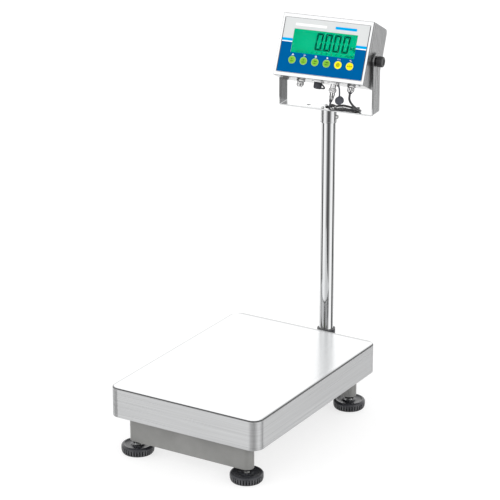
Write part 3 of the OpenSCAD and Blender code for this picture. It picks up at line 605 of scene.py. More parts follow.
def display():
    """Backlit green panel, a little darker towards its upper edge."""
    look = Look("display", (0.0, 0.30, 0.16), 0.3, Emission_Strength=0.68, Specular_IOR_Level=0.0)
    cloud = look.noise(45.0, detail=3.0)
    sep = look.node("ShaderNodeSeparateXYZ")
    look.link(look.where, sep.inputs[0])
    low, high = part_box("display_module")
    fall = look.ramp(sep.outputs[2], low.z, high.z, 0.0, 1.0)
    glow = look.mix(fall, (0.0, 0.56, 0.26), (0.0, 0.46, 0.21))
    bright = look.mix(look.ramp(cloud, 0.3, 0.75, 0.0, 0.22), glow, (0.0, 0.62, 0.29))
    look.link(bright, look.shader.inputs["Emission Color"])
    look.set_colour(look.mix(cloud, (0.0, 0.16, 0.08), (0.0, 0.2, 0.1)))
    return look.material


def segment_ink():
    return plastic("segment_ink", (0.0, 0.060, 0.038), 0.6, 3000.0, 0.000005, 0.1, Specular_IOR_Level=0.0)


def board():
    look = Look("board", (0.02, 0.14, 0.05), 0.35)
    brick = look.node("ShaderNodeTexBrick")
    look.link(look.stretched((160, 160, 160)), brick.inputs["Vector"])
    brick.inputs["Color1"].default_value = (0.015, 0.12, 0.045, 1)
    brick.inputs["Color2"].default_value = (0.02, 0.15, 0.06, 1)
    brick.inputs["Mortar"].default_value = (0.05, 0.24, 0.09, 1)
    brick.inputs["Mortar Size"].default_value = 0.03
    look.set_colour(brick.outputs["Color"])
    look.bump(look.noise(700.0), 0.00003)
    return look.material


def battery_case():
    return plastic("battery_case", (0.035, 0.037, 0.042), 0.5, 600.0, 0.00006)


def nickel():
    look = Look("nickel", (0.72, 0.72, 0.725), 0.08, 1.0)
    cloud = look.noise(260.0, detail=4.0)
    look.set_colour(look.mix(look.ramp(cloud, 0.3, 0.7, 0, 1), (0.60, 0.60, 0.605), (0.86, 0.86, 0.86)))
    look.set_roughness(look.ramp(cloud, 0.3, 0.7, 0.05, 0.11))
    look.bump(look.noise(1800.0), 0.00001)
    return look.material


def cap_rubber():
    return plastic("cap_rubber", (0.034, 0.036, 0.045), 0.55, 1400.0, 0.00004)


def knob_black():
    return plastic("knob_black", (0.02, 0.02, 0.022), 0.34, 1300.0, 0.00004)


def foot_plastic():
    return plastic("foot_plastic", (0.022, 0.023, 0.028), 0.27, 900.0, 0.00002, 0.12)


def key_green():
    return plastic("key_green", (0.205, 0.49, 0.030), 0.35, 3000.0, 0.00001, 0.06, Specular_IOR_Level=0.15)


def key_yellow():
    return plastic("key_yellow", (0.90, 0.80, 0.0), 0.35, 3000.0, 0.00001, 0.04, Specular_IOR_Level=0.1)


MATERIALS = {maker.__name__: maker() for maker in (
    pan_steel, frame_paint, plated_steel, black_steel, cell_alloy, pad_rubber, socket_black, pillar_steel,
    black_plastic, vial, lead_jacket, sleeve_steel, bracket_steel, case_steel, tie_nylon, overlay_film, window,
    display, board, battery_case, nickel, cap_rubber, knob_black, foot_plastic, key_green,
    key_yellow)}
BLUE_INK = ink("blue_ink", (0.0, 0.104, 0.315))
CYAN_INK = ink("cyan_ink", (0.0, 0.38, 0.80))
WHITE_INK = ink("white_ink", (0.93, 0.93, 0.93))
DARK_INK = ink("dark_ink", (0.03, 0.07, 0.02))
SEGMENTS = segment_ink()
# A near-black copy of the metal for the bottoms of knurl grooves: painted shade.
PAINTED_GROOVE_SHADE = brushed("nickel_painted_groove_shade", (0.03, 0.03, 0.033), 0.35, (600, 600, 40), 0.3)
DUST_CAP = plastic("dust_cap_rubber", (0.062, 0.067, 0.085), 0.6, 1400.0, 0.00004)
# Lighter and near-black copies of the foot plastic: painted highlight on the rib faces, painted shade in the grooves.
RIB_PAINTED_LIGHT = plastic("foot_rib_painted_light", (0.060, 0.061, 0.066), 0.32, 900.0, 0.00002, 0.15)
RIB_SHADE = plastic("foot_groove_painted_shade", (0.004, 0.004, 0.005), 0.5, 900.0, 0.00002, 0.12)


def dress_cad_nodes():
    """Each carried-over CAD node takes the material of its record slot."""
    slot_of = {part["node"]: part["material_slot"] for part in frame["record"]["subparts"]}
    for name, obj in NODES.items():
        for i in range(len(obj.data.materials)):
            obj.data.materials[i] = MATERIALS[slot_of[name]]


BEVELS_MM = {
    "front_beam": 1.0, "rear_beam": 1.0, "spine": 0.8, "pillar_bracket": 0.8, "top_frame": 0.6,
    "bracket": 0.45, "front_bezel": 1.7, "rear_case": 1.7, "pillar_socket": 0.6, "lock_nuts": 0.5,
    "cell_spacers": 0.4, "load_cell": 0.4, "head_sleeve": 0.3, "battery": 1.5, "overload_stops": 0.4,
    "level_body": 0.4, "pivot_bosses": 0.3, "pan_pads": 0.5, "frame_screws": 0.3, "socket_screws": 0.25,
    "bracket_screws": 0.2, "case_screws": 0.15, "lead_grommet": 0.3, "sleeve_screw": 0.2, "supply_inlet": 0.3,
    "clamp_knob": 0.3, "pivot_bolt": 0.3,
}


def bevel_cad_nodes():
    for name, width in BEVELS_MM.items():
        obj = NODES[name]
        weld = obj.modifiers.new("weld", "WELD")
        weld.merge_threshold = 0.000002
        bevel = obj.modifiers.new("bevel", "BEVEL")
        bevel.width = width * MM
        bevel.segments = 2
        bevel.limit_method = "ANGLE"
        bevel.angle_limit = math.radians(40)
        bevel.use_clamp_overlap = True
        bevel.harden_normals = False
        normal = obj.modifiers.new("normals", "WEIGHTED_NORMAL")
        normal.keep_sharp = False


# ---------- indicator face ----------

PRINT_T = 0.00006         # thickness of the printed colours, proud of the film
STRIPE_LOW, STRIPE_HIGH = 0.0640, 0.0690
LINE_LOW = 0.0622


def overlay_print():
    """The film's colours: blue below, a cyan stripe with a white line under it at each side of the window."""
    bm = bmesh.new()
    y1 = FACE_DEPTH
    y0 = y1 - PRINT_T
    edge = OVERLAY_W / 2 - 0.0009
    low = OVERLAY_LOW + 0.0003
    half = WINDOW_W / 2

    def slab(x0, x1, z0, z1, material, r=0.0):
        pts = round_rect(x0, x1, z0 + FACE_LOW, z1 + FACE_LOW, r) if r else rect(x0, x1, z0 + FACE_LOW, z1 + FACE_LOW)
        plate(bm, pts, y0, y1, material)

    rows = [low, KEY_UP - KEY_R - 0.0008, KEY_UP + KEY_R + 0.0008, WINDOW_LOW]
    slab(-edge, edge, rows[0], rows[1], 0)
    slab(-edge, edge, rows[2], rows[3], 0)
    # the row of keys is cut round each key
    centres = [(i - 2.5) * KEY_PITCH for i in range(6)]
    cells = [-edge] + [c + KEY_PITCH / 2 for c in centres[:-1]] + [edge]
    for i, cx in enumerate(centres):
        keyhole_slab(bm, cells[i], cells[i + 1], rows[1] + FACE_LOW, rows[2] + FACE_LOW, cx, KEY_UP + FACE_LOW,
                     KEY_R + 0.0002, y0, y1, 0)
    for s in (-1, 1):
        x0, x1 = sorted((s * half, s * edge))
        slab(x0, x1, WINDOW_LOW, LINE_LOW, 0)
        slab(x0, x1, LINE_LOW, STRIPE_LOW, 2)
        slab(x0, x1, STRIPE_LOW, STRIPE_HIGH, 1)
        # Painted shadow: a dark strip along the film's left and right edges, where it meets the bezel.
        x0, x1 = sorted((s * edge, s * (edge + 0.0009)))
        slab(x0, x1, low + 0.001, OVERLAY_LOW + OVERLAY_H - 0.001, 3)
    slab(-0.0605, 0.0, 0.0932, 0.0976, 2, 0.0007)
    slab(0.0165, 0.058, 0.0935, 0.0983, 1, 0.0012)
    place(bm, INDICATOR)
    obj = new_object("overlay_print", bm, [BLUE_INK, CYAN_INK, WHITE_INK, MATERIALS["cap_rubber"]], smooth=False)
    return finish_piece(obj, "indicator")


def keyhole_slab(bm, x0, x1, z0, z1, cx, cz, r, low, high, material):
    """A rectangle with a round hole, as a closed slab."""
    steps = 32
    hole, outer = [], []
    for i in range(steps):
        a = 2 * math.pi * (i + 0.5) / steps
        c, s = math.cos(a), math.sin(a)
        hole.append((cx + r * c, cz + r * s))
        reach = min((x1 - cx) / c if c > 0 else (x0 - cx) / c, (z1 - cz) / s if s > 0 else (z0 - cz) / s)
        outer.append([cx + reach * c, cz + reach * s])
    for corner in ((x0, z0), (x1, z0), (x1, z1), (x0, z1)):
        near = min(range(steps), key=lambda i: (outer[i][0] - corner[0]) ** 2 + (outer[i][1] - corner[1]) ** 2)
        outer[near] = list(corner)
    rows = []
    for pts, y in ((hole, low), (outer, low), (outer, high), (hole, high)):
        rows.append([bm.verts.new((p[0], y, p[1])) for p in pts])
    for k in range(4):
        a, b = rows[k], rows[(k + 1) % 4]
        for i in range(steps):
            j = (i + 1) % steps
            bm.faces.new((a[i], b[i], b[j], a[j])).material_index = material


def key_icons():
    """Plain white signs above the keys: none is lettering."""
    bm = bmesh.new()
    y1 = FACE_DEPTH - PRINT_T
    y0 = y1 - 0.00003
    z = FACE_LOW + 0.0405

    def bar(cx, cz, w, h):
        plate(bm, rect(cx - w / 2, cx + w / 2, cz - h / 2, cz + h / 2), y0, y1)

    def triangle(cx, cz, w, h):
        plate(bm, [(cx - w / 2, cz - h / 2), (cx + w / 2, cz - h / 2), (cx, cz + h / 2)], y0, y1)

    x = [(i - 2.5) * KEY_PITCH for i in range(6)]
    triangle(x[0], z + 0.0002, 0.0042, 0.0020)
    bar(x[0], z - 0.0014, 0.0042, 0.0005)
    bar(x[1] + 0.0006, z + 0.0006, 0.0036, 0.0007)
    triangle(x[1] - 0.0002, z - 0.0011, 0.0018, 0.0014)
    ring_plate(bm, x[2], z, 0.0017, 0.0009, y0, y1, 20)
    plate(bm, disc(x[3], z, 0.0014, 16), y0, y1)
    for s in (-1, 1):
        bar(x[4] + s * 0.0019, z, 0.0008, 0.0022)
    bar(x[5] - 0.0008, z + 0.0008, 0.0028, 0.0006)
    bar(x[5] + 0.0010, z - 0.0006, 0.0028, 0.0006)
    place(bm, INDICATOR)
    obj = new_object("key_icons", bm, [WHITE_INK], smooth=False)
    return finish_piece(obj, "indicator")


def key_piece(i):
    """A domed key with a pale rim and dark signs of its own, moving with its body."""
    name = f"key_{i}"
    yellow = i > 4
    bm = bmesh.new()
    profile = [(0.0, -0.0013), (KEY_R - 0.0001, -0.0013), (KEY_R - 0.0001, 0.00045), (KEY_R - 0.00035, 0.00068),
               (KEY_R - 0.0009, 0.0007), (KEY_R - 0.0011, 0.00055), (KEY_R * 0.7, 0.00068),
               (KEY_R * 0.35, 0.00074), (0.0, 0.00076)]
    lathe(bm, profile, 48)
    for f in bm.faces:
        if all(math.hypot(v.co.x, v.co.y) > KEY_R - 0.00112 for v in f.verts) and f.calc_center_median().z > 0.0003:
            f.material_index = 1
    place(bm, Matrix.Rotation(math.radians(90), 4, "X"))
    y0, y1 = -0.0008, -0.00072

    def bar(cx, cz, w, h, r=0.0002):
        plate(bm, round_rect(cx - w / 2, cx + w / 2, cz - h / 2, cz + h / 2, r, 3), y0, y1, 2)

    if yellow:
        if i == 5:
            ring_plate(bm, 0, 0, 0.0032, 0.0022, y0, y1, 28, 2)
            ring_plate(bm, 0, 0, 0.0013, 0.0005, y0, y1, 20, 2)
        else:
            for s in (-1, 1):
                plate(bm, disc(s * 0.0032, -0.0002, 0.0010, 20), y0, y1, 2)
                bar(s * 0.0008, 0.0, 0.0006, 0.0036)
    else:
        widths = ((0.0022, 0.0048), (0.0030, 0.0054), (0.0050, 0.0042), (0.0052, 0.0056))[i - 1]
        bar((i - 2) * 0.0005, 0.0018, widths[0], 0.0014)
        bar(0, -0.0021, widths[1], 0.0011)
    at = face_point((i - 3.5) * KEY_PITCH, KEY_UP)
    place(bm, INDICATOR @ Matrix.Translation(at))
    top = MATERIALS["key_yellow" if yellow else "key_green"]
    rim = plastic(f"key_rim_{i}", (0.95, 0.90, 0.12) if yellow else (0.34, 0.64, 0.14), 0.4, Specular_IOR_Level=0.1)
    obj = new_object(f"key_cap_{i}", bm, [top, rim, DARK_INK])
    return finish_piece(obj, name, (name,))


def digit_bars(cx, low, w, h, t, slant):
    """The six bars of a nought on a seven-bar display."""
    gap = 0.00025
    half = h / 2

    def lean(p):
        return (p[0] + (p[1] - low) * slant, p[1])

    bars = []
    for zc in (low, low + h):
        s = 1 if zc == low else -1
        bars.append([(cx - w / 2 + gap, zc), (cx + w / 2 - gap, zc), (cx + w / 2 - t - gap, zc + s * t),
                     (cx - w / 2 + t + gap, zc + s * t)])
    for side in (-1, 1):
        x = cx + side * w / 2
        xi = x - side * t
        for z0, z1, s in ((low, low + half, 1), (low + half, low + h, -1)):
            outer, inner = (z0 + gap, z1 - gap) if s > 0 else (z1 - gap, z0 + gap)
            bars.append([(x, outer), (xi, outer + s * t), (xi, inner - s * t * 0.55), (x - side * t * 0.5, inner),
                         (x, inner - s * t * 0.4)])
    return [[lean(p) for p in bar] for bar in bars]


def display_segments():
    """Four noughts with a point after the first, the unit, and small plain marks along the lower edge."""
    bm = bmesh.new()
    y0 = FACE_DEPTH + 0.0007 + 0.0012 + 0.00002
    y1 = y0 + 0.00006
    low = FACE_LOW + 0.0522
    for k in range(4):
        for bar in digit_bars(-0.0115 + 0.0173 * k, low, 0.0132, 0.0315, 0.0036, 0.05):
            plate(bm, bar, y0, y1)
    plate(bm, rect(-0.0042, -0.0020, low - 0.0002, low + 0.0020), y0, y1)
    unit_x, unit_z = 0.0512, FACE_LOW + 0.0592

    def stroke(a, b, t=0.0012):
        p, q = Vector(a), Vector(b)
        n = (q - p).normalized().orthogonal() * t / 2
        pts = [p + n, q + n, q - n, p - n]
        plate(bm, [(unit_x + v.x, unit_z + v.y) for v in pts], y0, y1)

    stroke((0, 0), (0, 0.0068))
    stroke((0.0003, 0.0022), (0.0029, 0.0047))
    stroke((0.0010, 0.0030), (0.0032, 0.0))
    for a, b in (((0.0048, 0.0002), (0.0048, 0.0045)), ((0.0048, 0.0045), (0.0080, 0.0045)),
                 ((0.0048, 0.0004), (0.0080, 0.0004)), ((0.0080, 0.0045), (0.0080, -0.0022)),
                 ((0.0080, -0.0022), (0.0050, -0.0022))):
        stroke(a, b)
    mark_z = FACE_LOW + WINDOW_LOW + 0.0022
    for k in range(9):
        x = -0.040 + 0.0094 * k
        plate(bm, [(x - 0.0010, mark_z - 0.0004), (x + 0.0006, mark_z - 0.0004), (x + 0.0011, mark_z + 0.0034),
                   (x - 0.0005, mark_z + 0.0034)], y0, y1)
    for x, w in ((-0.0485, 0.0066), (0.0470, 0.0066), (0.0556, 0.0060)):
        plate(bm, rect(x - w / 2, x + w / 2, mark_z - 0.0002, mark_z + 0.0006), y0, y1)
        plate(bm, rect(x - w / 2, x + w / 2, mark_z + 0.0022, mark_z + 0.0030), y0, y1)
        for s in (-1, 0, 1):
            plate(bm, rect(x + s * w / 2 - 0.0005, x + s * w / 2 + 0.0005, mark_z + 0.0007, mark_z + 0.0021), y0, y1)
    sign_z = FACE_LOW + 0.0795
    plate(bm, [(-0.0565, sign_z), (-0.0535, sign_z + 0.0016), (-0.0535, sign_z - 0.0002)], y0, y1)
    plate(bm, [(-0.0575, sign_z + 0.0003), (-0.0562, sign_z + 0.0003), (-0.0562, sign_z - 0.0022),
               (-0.0575, sign_z - 0.0022)], y0, y1)
    place(bm, INDICATOR)
    obj = new_object("display_segments", bm, [SEGMENTS], smooth=False)
    return finish_piece(obj, "indicator")


# ---------- connectors ----------


def knurl(depth, count):
    def radius(r, z, a):
        return r - depth * (0.5 + 0.5 * math.cos(count * a))
    return radius


def paint_shade_in_grooves(faces, count, material):
    """Gives the bottoms of the knurl's grooves the dark material: painted shade in the recesses."""
    for f in faces:
        at = f.calc_center_median()
        if math.cos(count * math.atan2(at.y, at.x)) > 0.15:
            f.material_index = material


def hex_nut(bm, across, z0, z1, material=0):
    """Six-sided nut with rounded-off corners."""
    flat = across / 2

    def radius(r, z, a):
        wedge = (a + math.pi / 6) % (math.pi / 3) - math.pi / 6
        corner = flat / math.cos(wedge)
        return min(corner, r)

    top = flat / math.cos(math.pi / 6)
    lathe(bm, [(flat * 0.93, z0), (top * 0.965, z0 + 0.0004), (top, z0 + 0.0009), (top, z1 - 0.0009),
               (top * 0.965, z1 - 0.0004), (flat * 0.93, z1)], 72, material, radius)


def gland(x, blanked):
    """A cable gland: hexagon on the case, knurled dome nut, and a lip or a blanking plug at its mouth."""
    bm = bmesh.new()
    hex_nut(bm, 0.014, 0.0001, 0.0040)
    # Painted shade: a dark ring in the gap between the hexagon and the dome nut.
    lathe(bm, [(0.0054, 0.0038), (0.0060, 0.0041), (0.0060, 0.0046), (0.0054, 0.0048)], 40, 1)
    paint_shade_in_grooves(lathe(bm, [(0.0061, 0.0046), (0.0066, 0.0050), (0.0066, 0.0095), (0.0062, 0.0100)], 96, 0,
                        knurl(0.0007, 12)), 12, 2)
    lathe(bm, [(0.0062, 0.0099), (0.0060, 0.0108), (0.0052, 0.0120), (0.0046, 0.0125), (0.0038, 0.0126),
               (0.0036, 0.0122)], 40)
    if blanked:
        lathe(bm, [(0.0036, 0.0118), (0.0040, 0.0128), (0.0039, 0.0138), (0.0033, 0.0144), (0.0, 0.0145)], 32)
    else:
        lathe(bm, [(0.0036, 0.0118), (0.0038, 0.0130), (0.0033, 0.0142), (0.0027, 0.0145)], 32, 1)
    place(bm, port_matrix(x))
    name = "gland_blanked" if blanked else "gland_supply"
    obj = new_object(name, bm, [MATERIALS["nickel"], MATERIALS["cap_rubber"], PAINTED_GROOVE_SHADE])
    return finish_piece(obj, "indicator", ("cable_glands",) if blanked else ())


def socket_flange(bm, half, t):
    """The socket's square flange with four small screws."""
    pts = round_rect(-half, half, -half, half, 0.0022, 4)
    low = [bm.verts.new((p[0], p[1], 0.0)) for p in pts]
    high = [bm.verts.new((p[0], p[1], t)) for p in pts]
    n = len(pts)
    bm.faces.new(low)
    bm.faces.new(high[::-1])
    for i in range(n):
        j = (i + 1) % n
        bm.faces.new((low[i], high[i], high[j], low[j]))
    for sx in (-1, 1):
        for sy in (-1, 1):
            screw = bmesh.new()
            lathe(screw, [(0.0, t - 0.0002), (0.0012, t - 0.0002), (0.0012, t + 0.0002), (0.0009, t + 0.0005),
                          (0.0, t + 0.0006)], 18)
            place(screw, Matrix.Translation((sx * half * 0.72, sy * half * 0.72, 0)))
            mesh = bpy.data.meshes.new("screw")
            screw.to_mesh(mesh)
            screw.free()
            bm.from_mesh(mesh)
            bpy.data.meshes.remove(mesh)


def threaded(profile_r, z0, z1, pitch, depth):
    """Points of a ribbed barrel, like a screw thread seen from the side."""
    pts = []
    z = z0
    while z + pitch <= z1:
        pts += [(profile_r - depth, z), (profile_r, z + pitch * 0.35), (profile_r, z + pitch * 0.6)]
        z += pitch
    pts.append((profile_r - depth, z1))
    return pts


def panel_socket(x, first):
    bm = bmesh.new()
    socket_flange(bm, 0.009, 0.002)
    barrel = [(0.0054, 0.0018)] + threaded(0.0056, 0.0021, 0.0088, 0.0009, 0.0003)
    lathe(bm, barrel + [(0.0046, 0.0090), (0.0046, 0.0032), (0.0, 0.0032)], 40)
    place(bm, port_matrix(x))
    obj = new_object("panel_socket_left" if first else "panel_socket_right", bm, [MATERIALS["nickel"]])
    return finish_piece(obj, "indicator", ("panel_sockets",) if first else ())


def rubber_cap():
    """The cap on the left socket: ribbed wall, stepped end, and the three-sided retaining loop beside it."""
    bm = bmesh.new()
    lathe(bm, [(0.0057, 0.0022), (0.0070, 0.0021), (0.0074, 0.0026), (0.0074, 0.0036), (0.0071, 0.0040),
               (0.0071, 0.0044), (0.0074, 0.0048)], 48)
    lathe(bm, [(0.0068, 0.0046), (0.0074, 0.0050), (0.0074, 0.0102), (0.0070, 0.0108)], 96, 0, knurl(0.0005, 18))
    lathe(bm, [(0.0070, 0.0107), (0.0065, 0.0120), (0.0060, 0.0128), (0.0045, 0.0130), (0.0042, 0.0126),
               (0.0, 0.0125)], 48)
    corners = [(0.0072, 0.0048), (0.0100, 0.0062), (0.0134, 0.0095), (0.0134, 0.0108), (0.0118, 0.0114),
               (0.0092, 0.0114), (0.0068, 0.0112), (0.0066, 0.0080)]
    loop = smooth_path([Vector((x, 0.0, z)) for x, z in corners], 4, True)
    sweep(bm, loop, 0.0014, 12, True)
    place(bm, port_matrix(PORT_X[1]))
    obj = new_object("rubber_cap", bm, [MATERIALS["cap_rubber"]])
    return finish_piece(obj, "indicator", ("socket_cap",))


def plug():
    """The load cell's plug: metal shell with lengthwise flutes, dark rings in the gaps between its parts as painted
    shade, and the clamping nut at its end.
    """
    bm = bmesh.new()
    lathe(bm, [(0.0044, 0.0033), (0.0045, 0.0036), (0.0045, 0.0160)], 48)
    lathe(bm, [(0.0046, 0.0158), (0.0056, 0.0161), (0.0056, 0.0170), (0.0050, 0.0173)], 48)
    # Painted shade: a thin dark ring in the gap between two parts of the shell.
    lathe(bm, [(0.0048, 0.0171), (0.0048, 0.0178)], 48, 1)
    paint_shade_in_grooves(lathe(bm, [(0.0050, 0.0176), (0.0055, 0.0179), (0.0048, 0.0246), (0.0044, 0.0250)], 96, 0,
                        knurl(0.0010, 7)), 7, 2)
    # Painted shade: a thin dark ring in the gap between two parts of the shell.
    lathe(bm, [(0.0042, 0.0248), (0.0042, 0.0256)], 48, 1)
    paint_shade_in_grooves(lathe(bm, [(0.0042, 0.0254), (0.0045, 0.0257), (0.0043, 0.0290), (0.0034, 0.0302)], 96, 0,
                        knurl(0.0007, 9)), 9, 2)
    lathe(bm, [(0.0034, 0.0300), (0.0030, 0.0312), (0.0028, 0.0330), (0.0022, 0.0340)], 48, 1)
    place(bm, port_matrix(PORT_X[2]))
    obj = new_object("plug", bm, [MATERIALS["nickel"], MATERIALS["cap_rubber"], PAINTED_GROOVE_SHADE])
    return finish_piece(obj, "indicator", ("plug_body",))


def coupling_ring():
    bm = bmesh.new()
    lathe(bm, [(0.00458, 0.0093), (0.0062, 0.0092), (0.0069, 0.0096), (0.0070, 0.0100)], 60)
    paint_shade_in_grooves(lathe(bm, [(0.0062, 0.0099), (0.0070, 0.0101), (0.0070, 0.0148), (0.0062, 0.0150)], 144, 0,
                        knurl(0.0005, 18)), 18, 1)
    lathe(bm, [(0.0070, 0.0149), (0.0069, 0.0154), (0.0062, 0.0158), (0.00458, 0.0157)], 60)
    place(bm, port_matrix(PORT_X[2]))
    obj = new_object("coupling_ring", bm, [MATERIALS["nickel"], PAINTED_GROOVE_SHADE])
    return finish_piece(obj, "plug_ring", ("plug_ring",))


def hanging_cap():
    """The dust cap of the right socket on its strap, points as in part.scad."""
    bm = bmesh.new()
    strap = [from_face(PORT_X[2] / MM + 7, -3.42, 22), from_face(PORT_X[2] / MM + 9.5, -3.42, 22)]
    strap += above_plate([(34.2, -35.4, 49.5), (34.9, -35.2, 45.5), (35.1, -35, 39.5), (35, -35, 32.5)])
    sweep(bm, smooth_path([Vector(p) * MM for p in strap], 5), 0.0014, 12)
    cap = bmesh.new()
    lathe(cap, [(0.0057, -0.0040), (0.0070, -0.0041), (0.0074, -0.0036), (0.0074, -0.0026), (0.0071, -0.0022)], 48)
    lathe(cap, [(0.0068, -0.0022), (0.0074, -0.0018), (0.0074, 0.0036), (0.0069, 0.0042)], 96, 0, knurl(0.0004, 20))
    lathe(cap, [(0.0069, 0.0041), (0.0066, 0.0049), (0.0050, 0.0050), (0.0047, 0.0044), (0.0, 0.0043)], 48)
    lathe(cap, [(0.0, 0.0024), (0.0056, 0.0024), (0.0057, -0.0038), (0.0060, -0.0040)], 48)
    centre = Vector(above_plate([(35, -35, 25.5)])[0]) * MM
    place(cap, Matrix.Translation(centre) @ Matrix.Rotation(math.radians(90), 4, "X"))
    mesh = bpy.data.meshes.new("cap")
    cap.to_mesh(mesh)
    cap.free()
    bm.from_mesh(mesh)
    bpy.data.meshes.remove(mesh)
    place(bm, HEAD)
    obj = new_object("hanging_cap", bm, [DUST_CAP])
    return finish_piece(obj, "indicator", ("dust_cap",))


# ---------- leads, hank and tie ----------

SIGNAL_R, SUPPLY_R = 0.0017, 0.0020
HANK_LOW, HANK_H = PLATE_TOP + 0.0007, 0.0042
HANK_WIDE, HANK_WIDE_R = Vector((0.028, -0.002)), 0.0162
HANK_NARROW, HANK_NARROW_R = Vector((0.052, 0.0)), 0.0060


def from_face(x, up, depth):
    """A point of the indicator in the head's frame, in millimetres, as in part.scad."""
    p = HEAD.inverted() @ INDICATOR @ face_point(x * MM, up * MM, depth * MM)
    return tuple(c / MM for c in p)


def above_plate(points):
    """Points of the head's frame in millimetres, their heights counted from the bracket's plate, as in part.scad."""
    return [(x, y, PLATE_TOP / MM + z) for x, y, z in points]


def lead_piece(name, points, radius):
    bm = bmesh.new()
    sweep(bm, smooth_path([Vector(p) * MM for p in points], 7), radius, 16)
    place(bm, HEAD)
    obj = new_object(name, bm, [MATERIALS["lead_jacket"]])
    return obj


def lead_loops():
    """The two leads, from their connectors down to the hank."""
    load = [from_face(23, -33, 22), from_face(23, -38, 22)]
    load += above_plate([(22.8, -51, 14.5), (22.4, -46, 10), (21.4, -38, 6.7), (20, -30, 4.5), (19.6, -25, 3.3),
                         (22, -21.6, 2.9), (28, -20.3, 2.8), (32.7, -19.6, 2.8), (36.6, -18.1, 2.8),
                         (40.8, -15.7, 2.8), (45, -13.3, 2.8), (48.5, -11.3, 2.8), (52.6, -9.1, 2.8)])
    supply = [from_face(57, -12.5, 22), from_face(57, -18, 22)]
    supply += above_plate([(57.4, -42.5, 32.5), (59, -39.5, 25.5), (62, -34.5, 18.5), (65, -27, 12),
                           (66.4, -18.5, 7), (66, -11, 4.1), (63.8, -5.8, 3), (60.6, -3, 2.9), (57.4, -1.6, 2.9)])
    for name, points, radius, node in (("load_lead", load, SIGNAL_R, "load_lead_loop"),
                                       ("supply_lead", supply, SUPPLY_R, "supply_lead_loop")):
        obj = lead_piece(name, points, radius)
        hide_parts(node)
        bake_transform(obj)


def lead_risers():
    """Both leads come up through the grommet and turn over its rim into the hank."""
    load = above_plate([(0, -2.3, -8.5), (0, -2.3, -1.5), (1, -2.3, 1.5), (3, -2.3, 3.3), (5.6, -2.3, 3.9),
                        (8.4, -2.3, 3.5), (12.2, -2.3, 2.9)])
    supply = above_plate([(0, 2.3, -8.5), (0, 2.3, -1.1), (0.9, 2.3, 1.7), (3, 2.3, 3.7), (5.8, 2.3, 4.2),
                          (8.6, 2.3, 3.7), (12.8, 2.3, 3)])
    for name, points, radius in (("load_riser", load, SIGNAL_R), ("supply_riser", supply, SUPPLY_R)):
        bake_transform(lead_piece(name, points, radius))


def hank():
    """The spare length, tied: one flat ring, wide at the grommet and narrow past the tie."""
    bm = bmesh.new()
    points = []
    for centre, r, start, turn in ((HANK_WIDE, HANK_WIDE_R, 97, 180), (HANK_NARROW, HANK_NARROW_R, -97, 194)):
        for k in range(9):
            a = math.radians(start + turn * k / 8)
            reach = r - 0.0021 + 0.0003 * math.sin(3 * a)
            points.append(Vector((centre.x + reach * math.cos(a), centre.y + reach * math.sin(a),
                                  HANK_LOW + 0.0021 + 0.0002 * math.sin(2 * a))))
    sweep(bm, smooth_path(points, 4, True), SUPPLY_R, 14, True)
    place(bm, HEAD)
    obj = new_object("hank", bm, [MATERIALS["lead_jacket"]])
    return finish_piece(obj, "head", ("lead_hank",))


TIE_X, TIE_W, TIE_HALF = 0.053, 0.004, 0.0076


def block(bm, p0, p1, turn=None):
    """A rounded box between two corners, its corners cut by a small bevel."""
    part = bmesh.new()
    size, centre = Vector(p1) - Vector(p0), (Vector(p1) + Vector(p0)) / 2
    half = size / 2
    plate(part, rect(-half.x, half.x, -half.z, half.z), -half.y, half.y)
    bmesh.ops.bevel(part, geom=part.edges[:], offset=min(size) * 0.2, segments=2, affect="EDGES")
    place(part, (turn or Matrix.Identity(4)) @ Matrix.Translation(centre))
    mesh = bpy.data.meshes.new("block")
    part.to_mesh(mesh)
    part.free()
    bm.from_mesh(mesh)
    bpy.data.meshes.remove(mesh)


def cable_tie():
    """Tie round both runs of the hank: a thin rounded band, its head and its toothed, cut-off tail."""
    bm = bmesh.new()
    t = 0.0006
    mid = HANK_LOW + HANK_H / 2
    outer = round_rect(-TIE_HALF, TIE_HALF, HANK_LOW - 0.0006, HANK_LOW + HANK_H + 0.0006, 0.0016, 6)
    inner = round_rect(-TIE_HALF + t, TIE_HALF - t, HANK_LOW, HANK_LOW + HANK_H, 0.0012, 6)
    n = len(outer)
    rows = [[bm.verts.new((x, p[0], p[1])) for p in pts] for pts, x in
            ((inner, TIE_X), (outer, TIE_X), (outer, TIE_X + TIE_W), (inner, TIE_X + TIE_W))]
    for k in range(4):
        a, b = rows[k], rows[(k + 1) % 4]
        for i in range(n):
            j = (i + 1) % n
            bm.faces.new((a[i], b[i], b[j], a[j]))
    block(bm, (TIE_X - 0.0006, -TIE_HALF - 0.0034, mid - 0.0014), (TIE_X + TIE_W + 0.0006, -TIE_HALF + 0.0001, mid + 0.0026))
    tail = Matrix.Translation((TIE_X + 0.0015, -TIE_HALF - 0.003, mid)) @ Matrix.Rotation(math.radians(20), 4, "Z")
    block(bm, (0.0, -0.012, 0.0), (0.0024, 0.0, 0.0008), tail)
    for k in range(9):
        low = -0.0116 + 0.0011 * k
        block(bm, (0.0002, low, 0.0006), (0.0022, low + 0.0006, 0.0010), tail)
    place(bm, HEAD)
    obj = new_object("cable_tie", bm, [MATERIALS["tie_nylon"]])
    return finish_piece(obj, "head", ("hank_tie",))


# ---------- feet ----------


def foot_thread(tag):
    """The threaded stud of a levelling foot."""
    low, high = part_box(f"foot_stud_{tag}")
    centre = (low + high) / 2
    r = (high.x - low.x) / 2
    bm = bmesh.new()
    top = high.z - 0.0008
    lathe(bm, [(r - 0.0008, low.z)] + threaded(r, low.z + 0.0004, top, 0.0015, 0.0007) + [(r - 0.0009, high.z)], 32)
    place(bm, Matrix.Translation((centre.x, centre.y, 0)))
    obj = new_object(f"foot_thread_{tag}", bm, [MATERIALS["plated_steel"]])
    return finish_piece(obj, f"stud_{tag}", (f"foot_stud_{tag}",))


FOOT_RIBS, RIB_DEPTH = 36, 0.0021


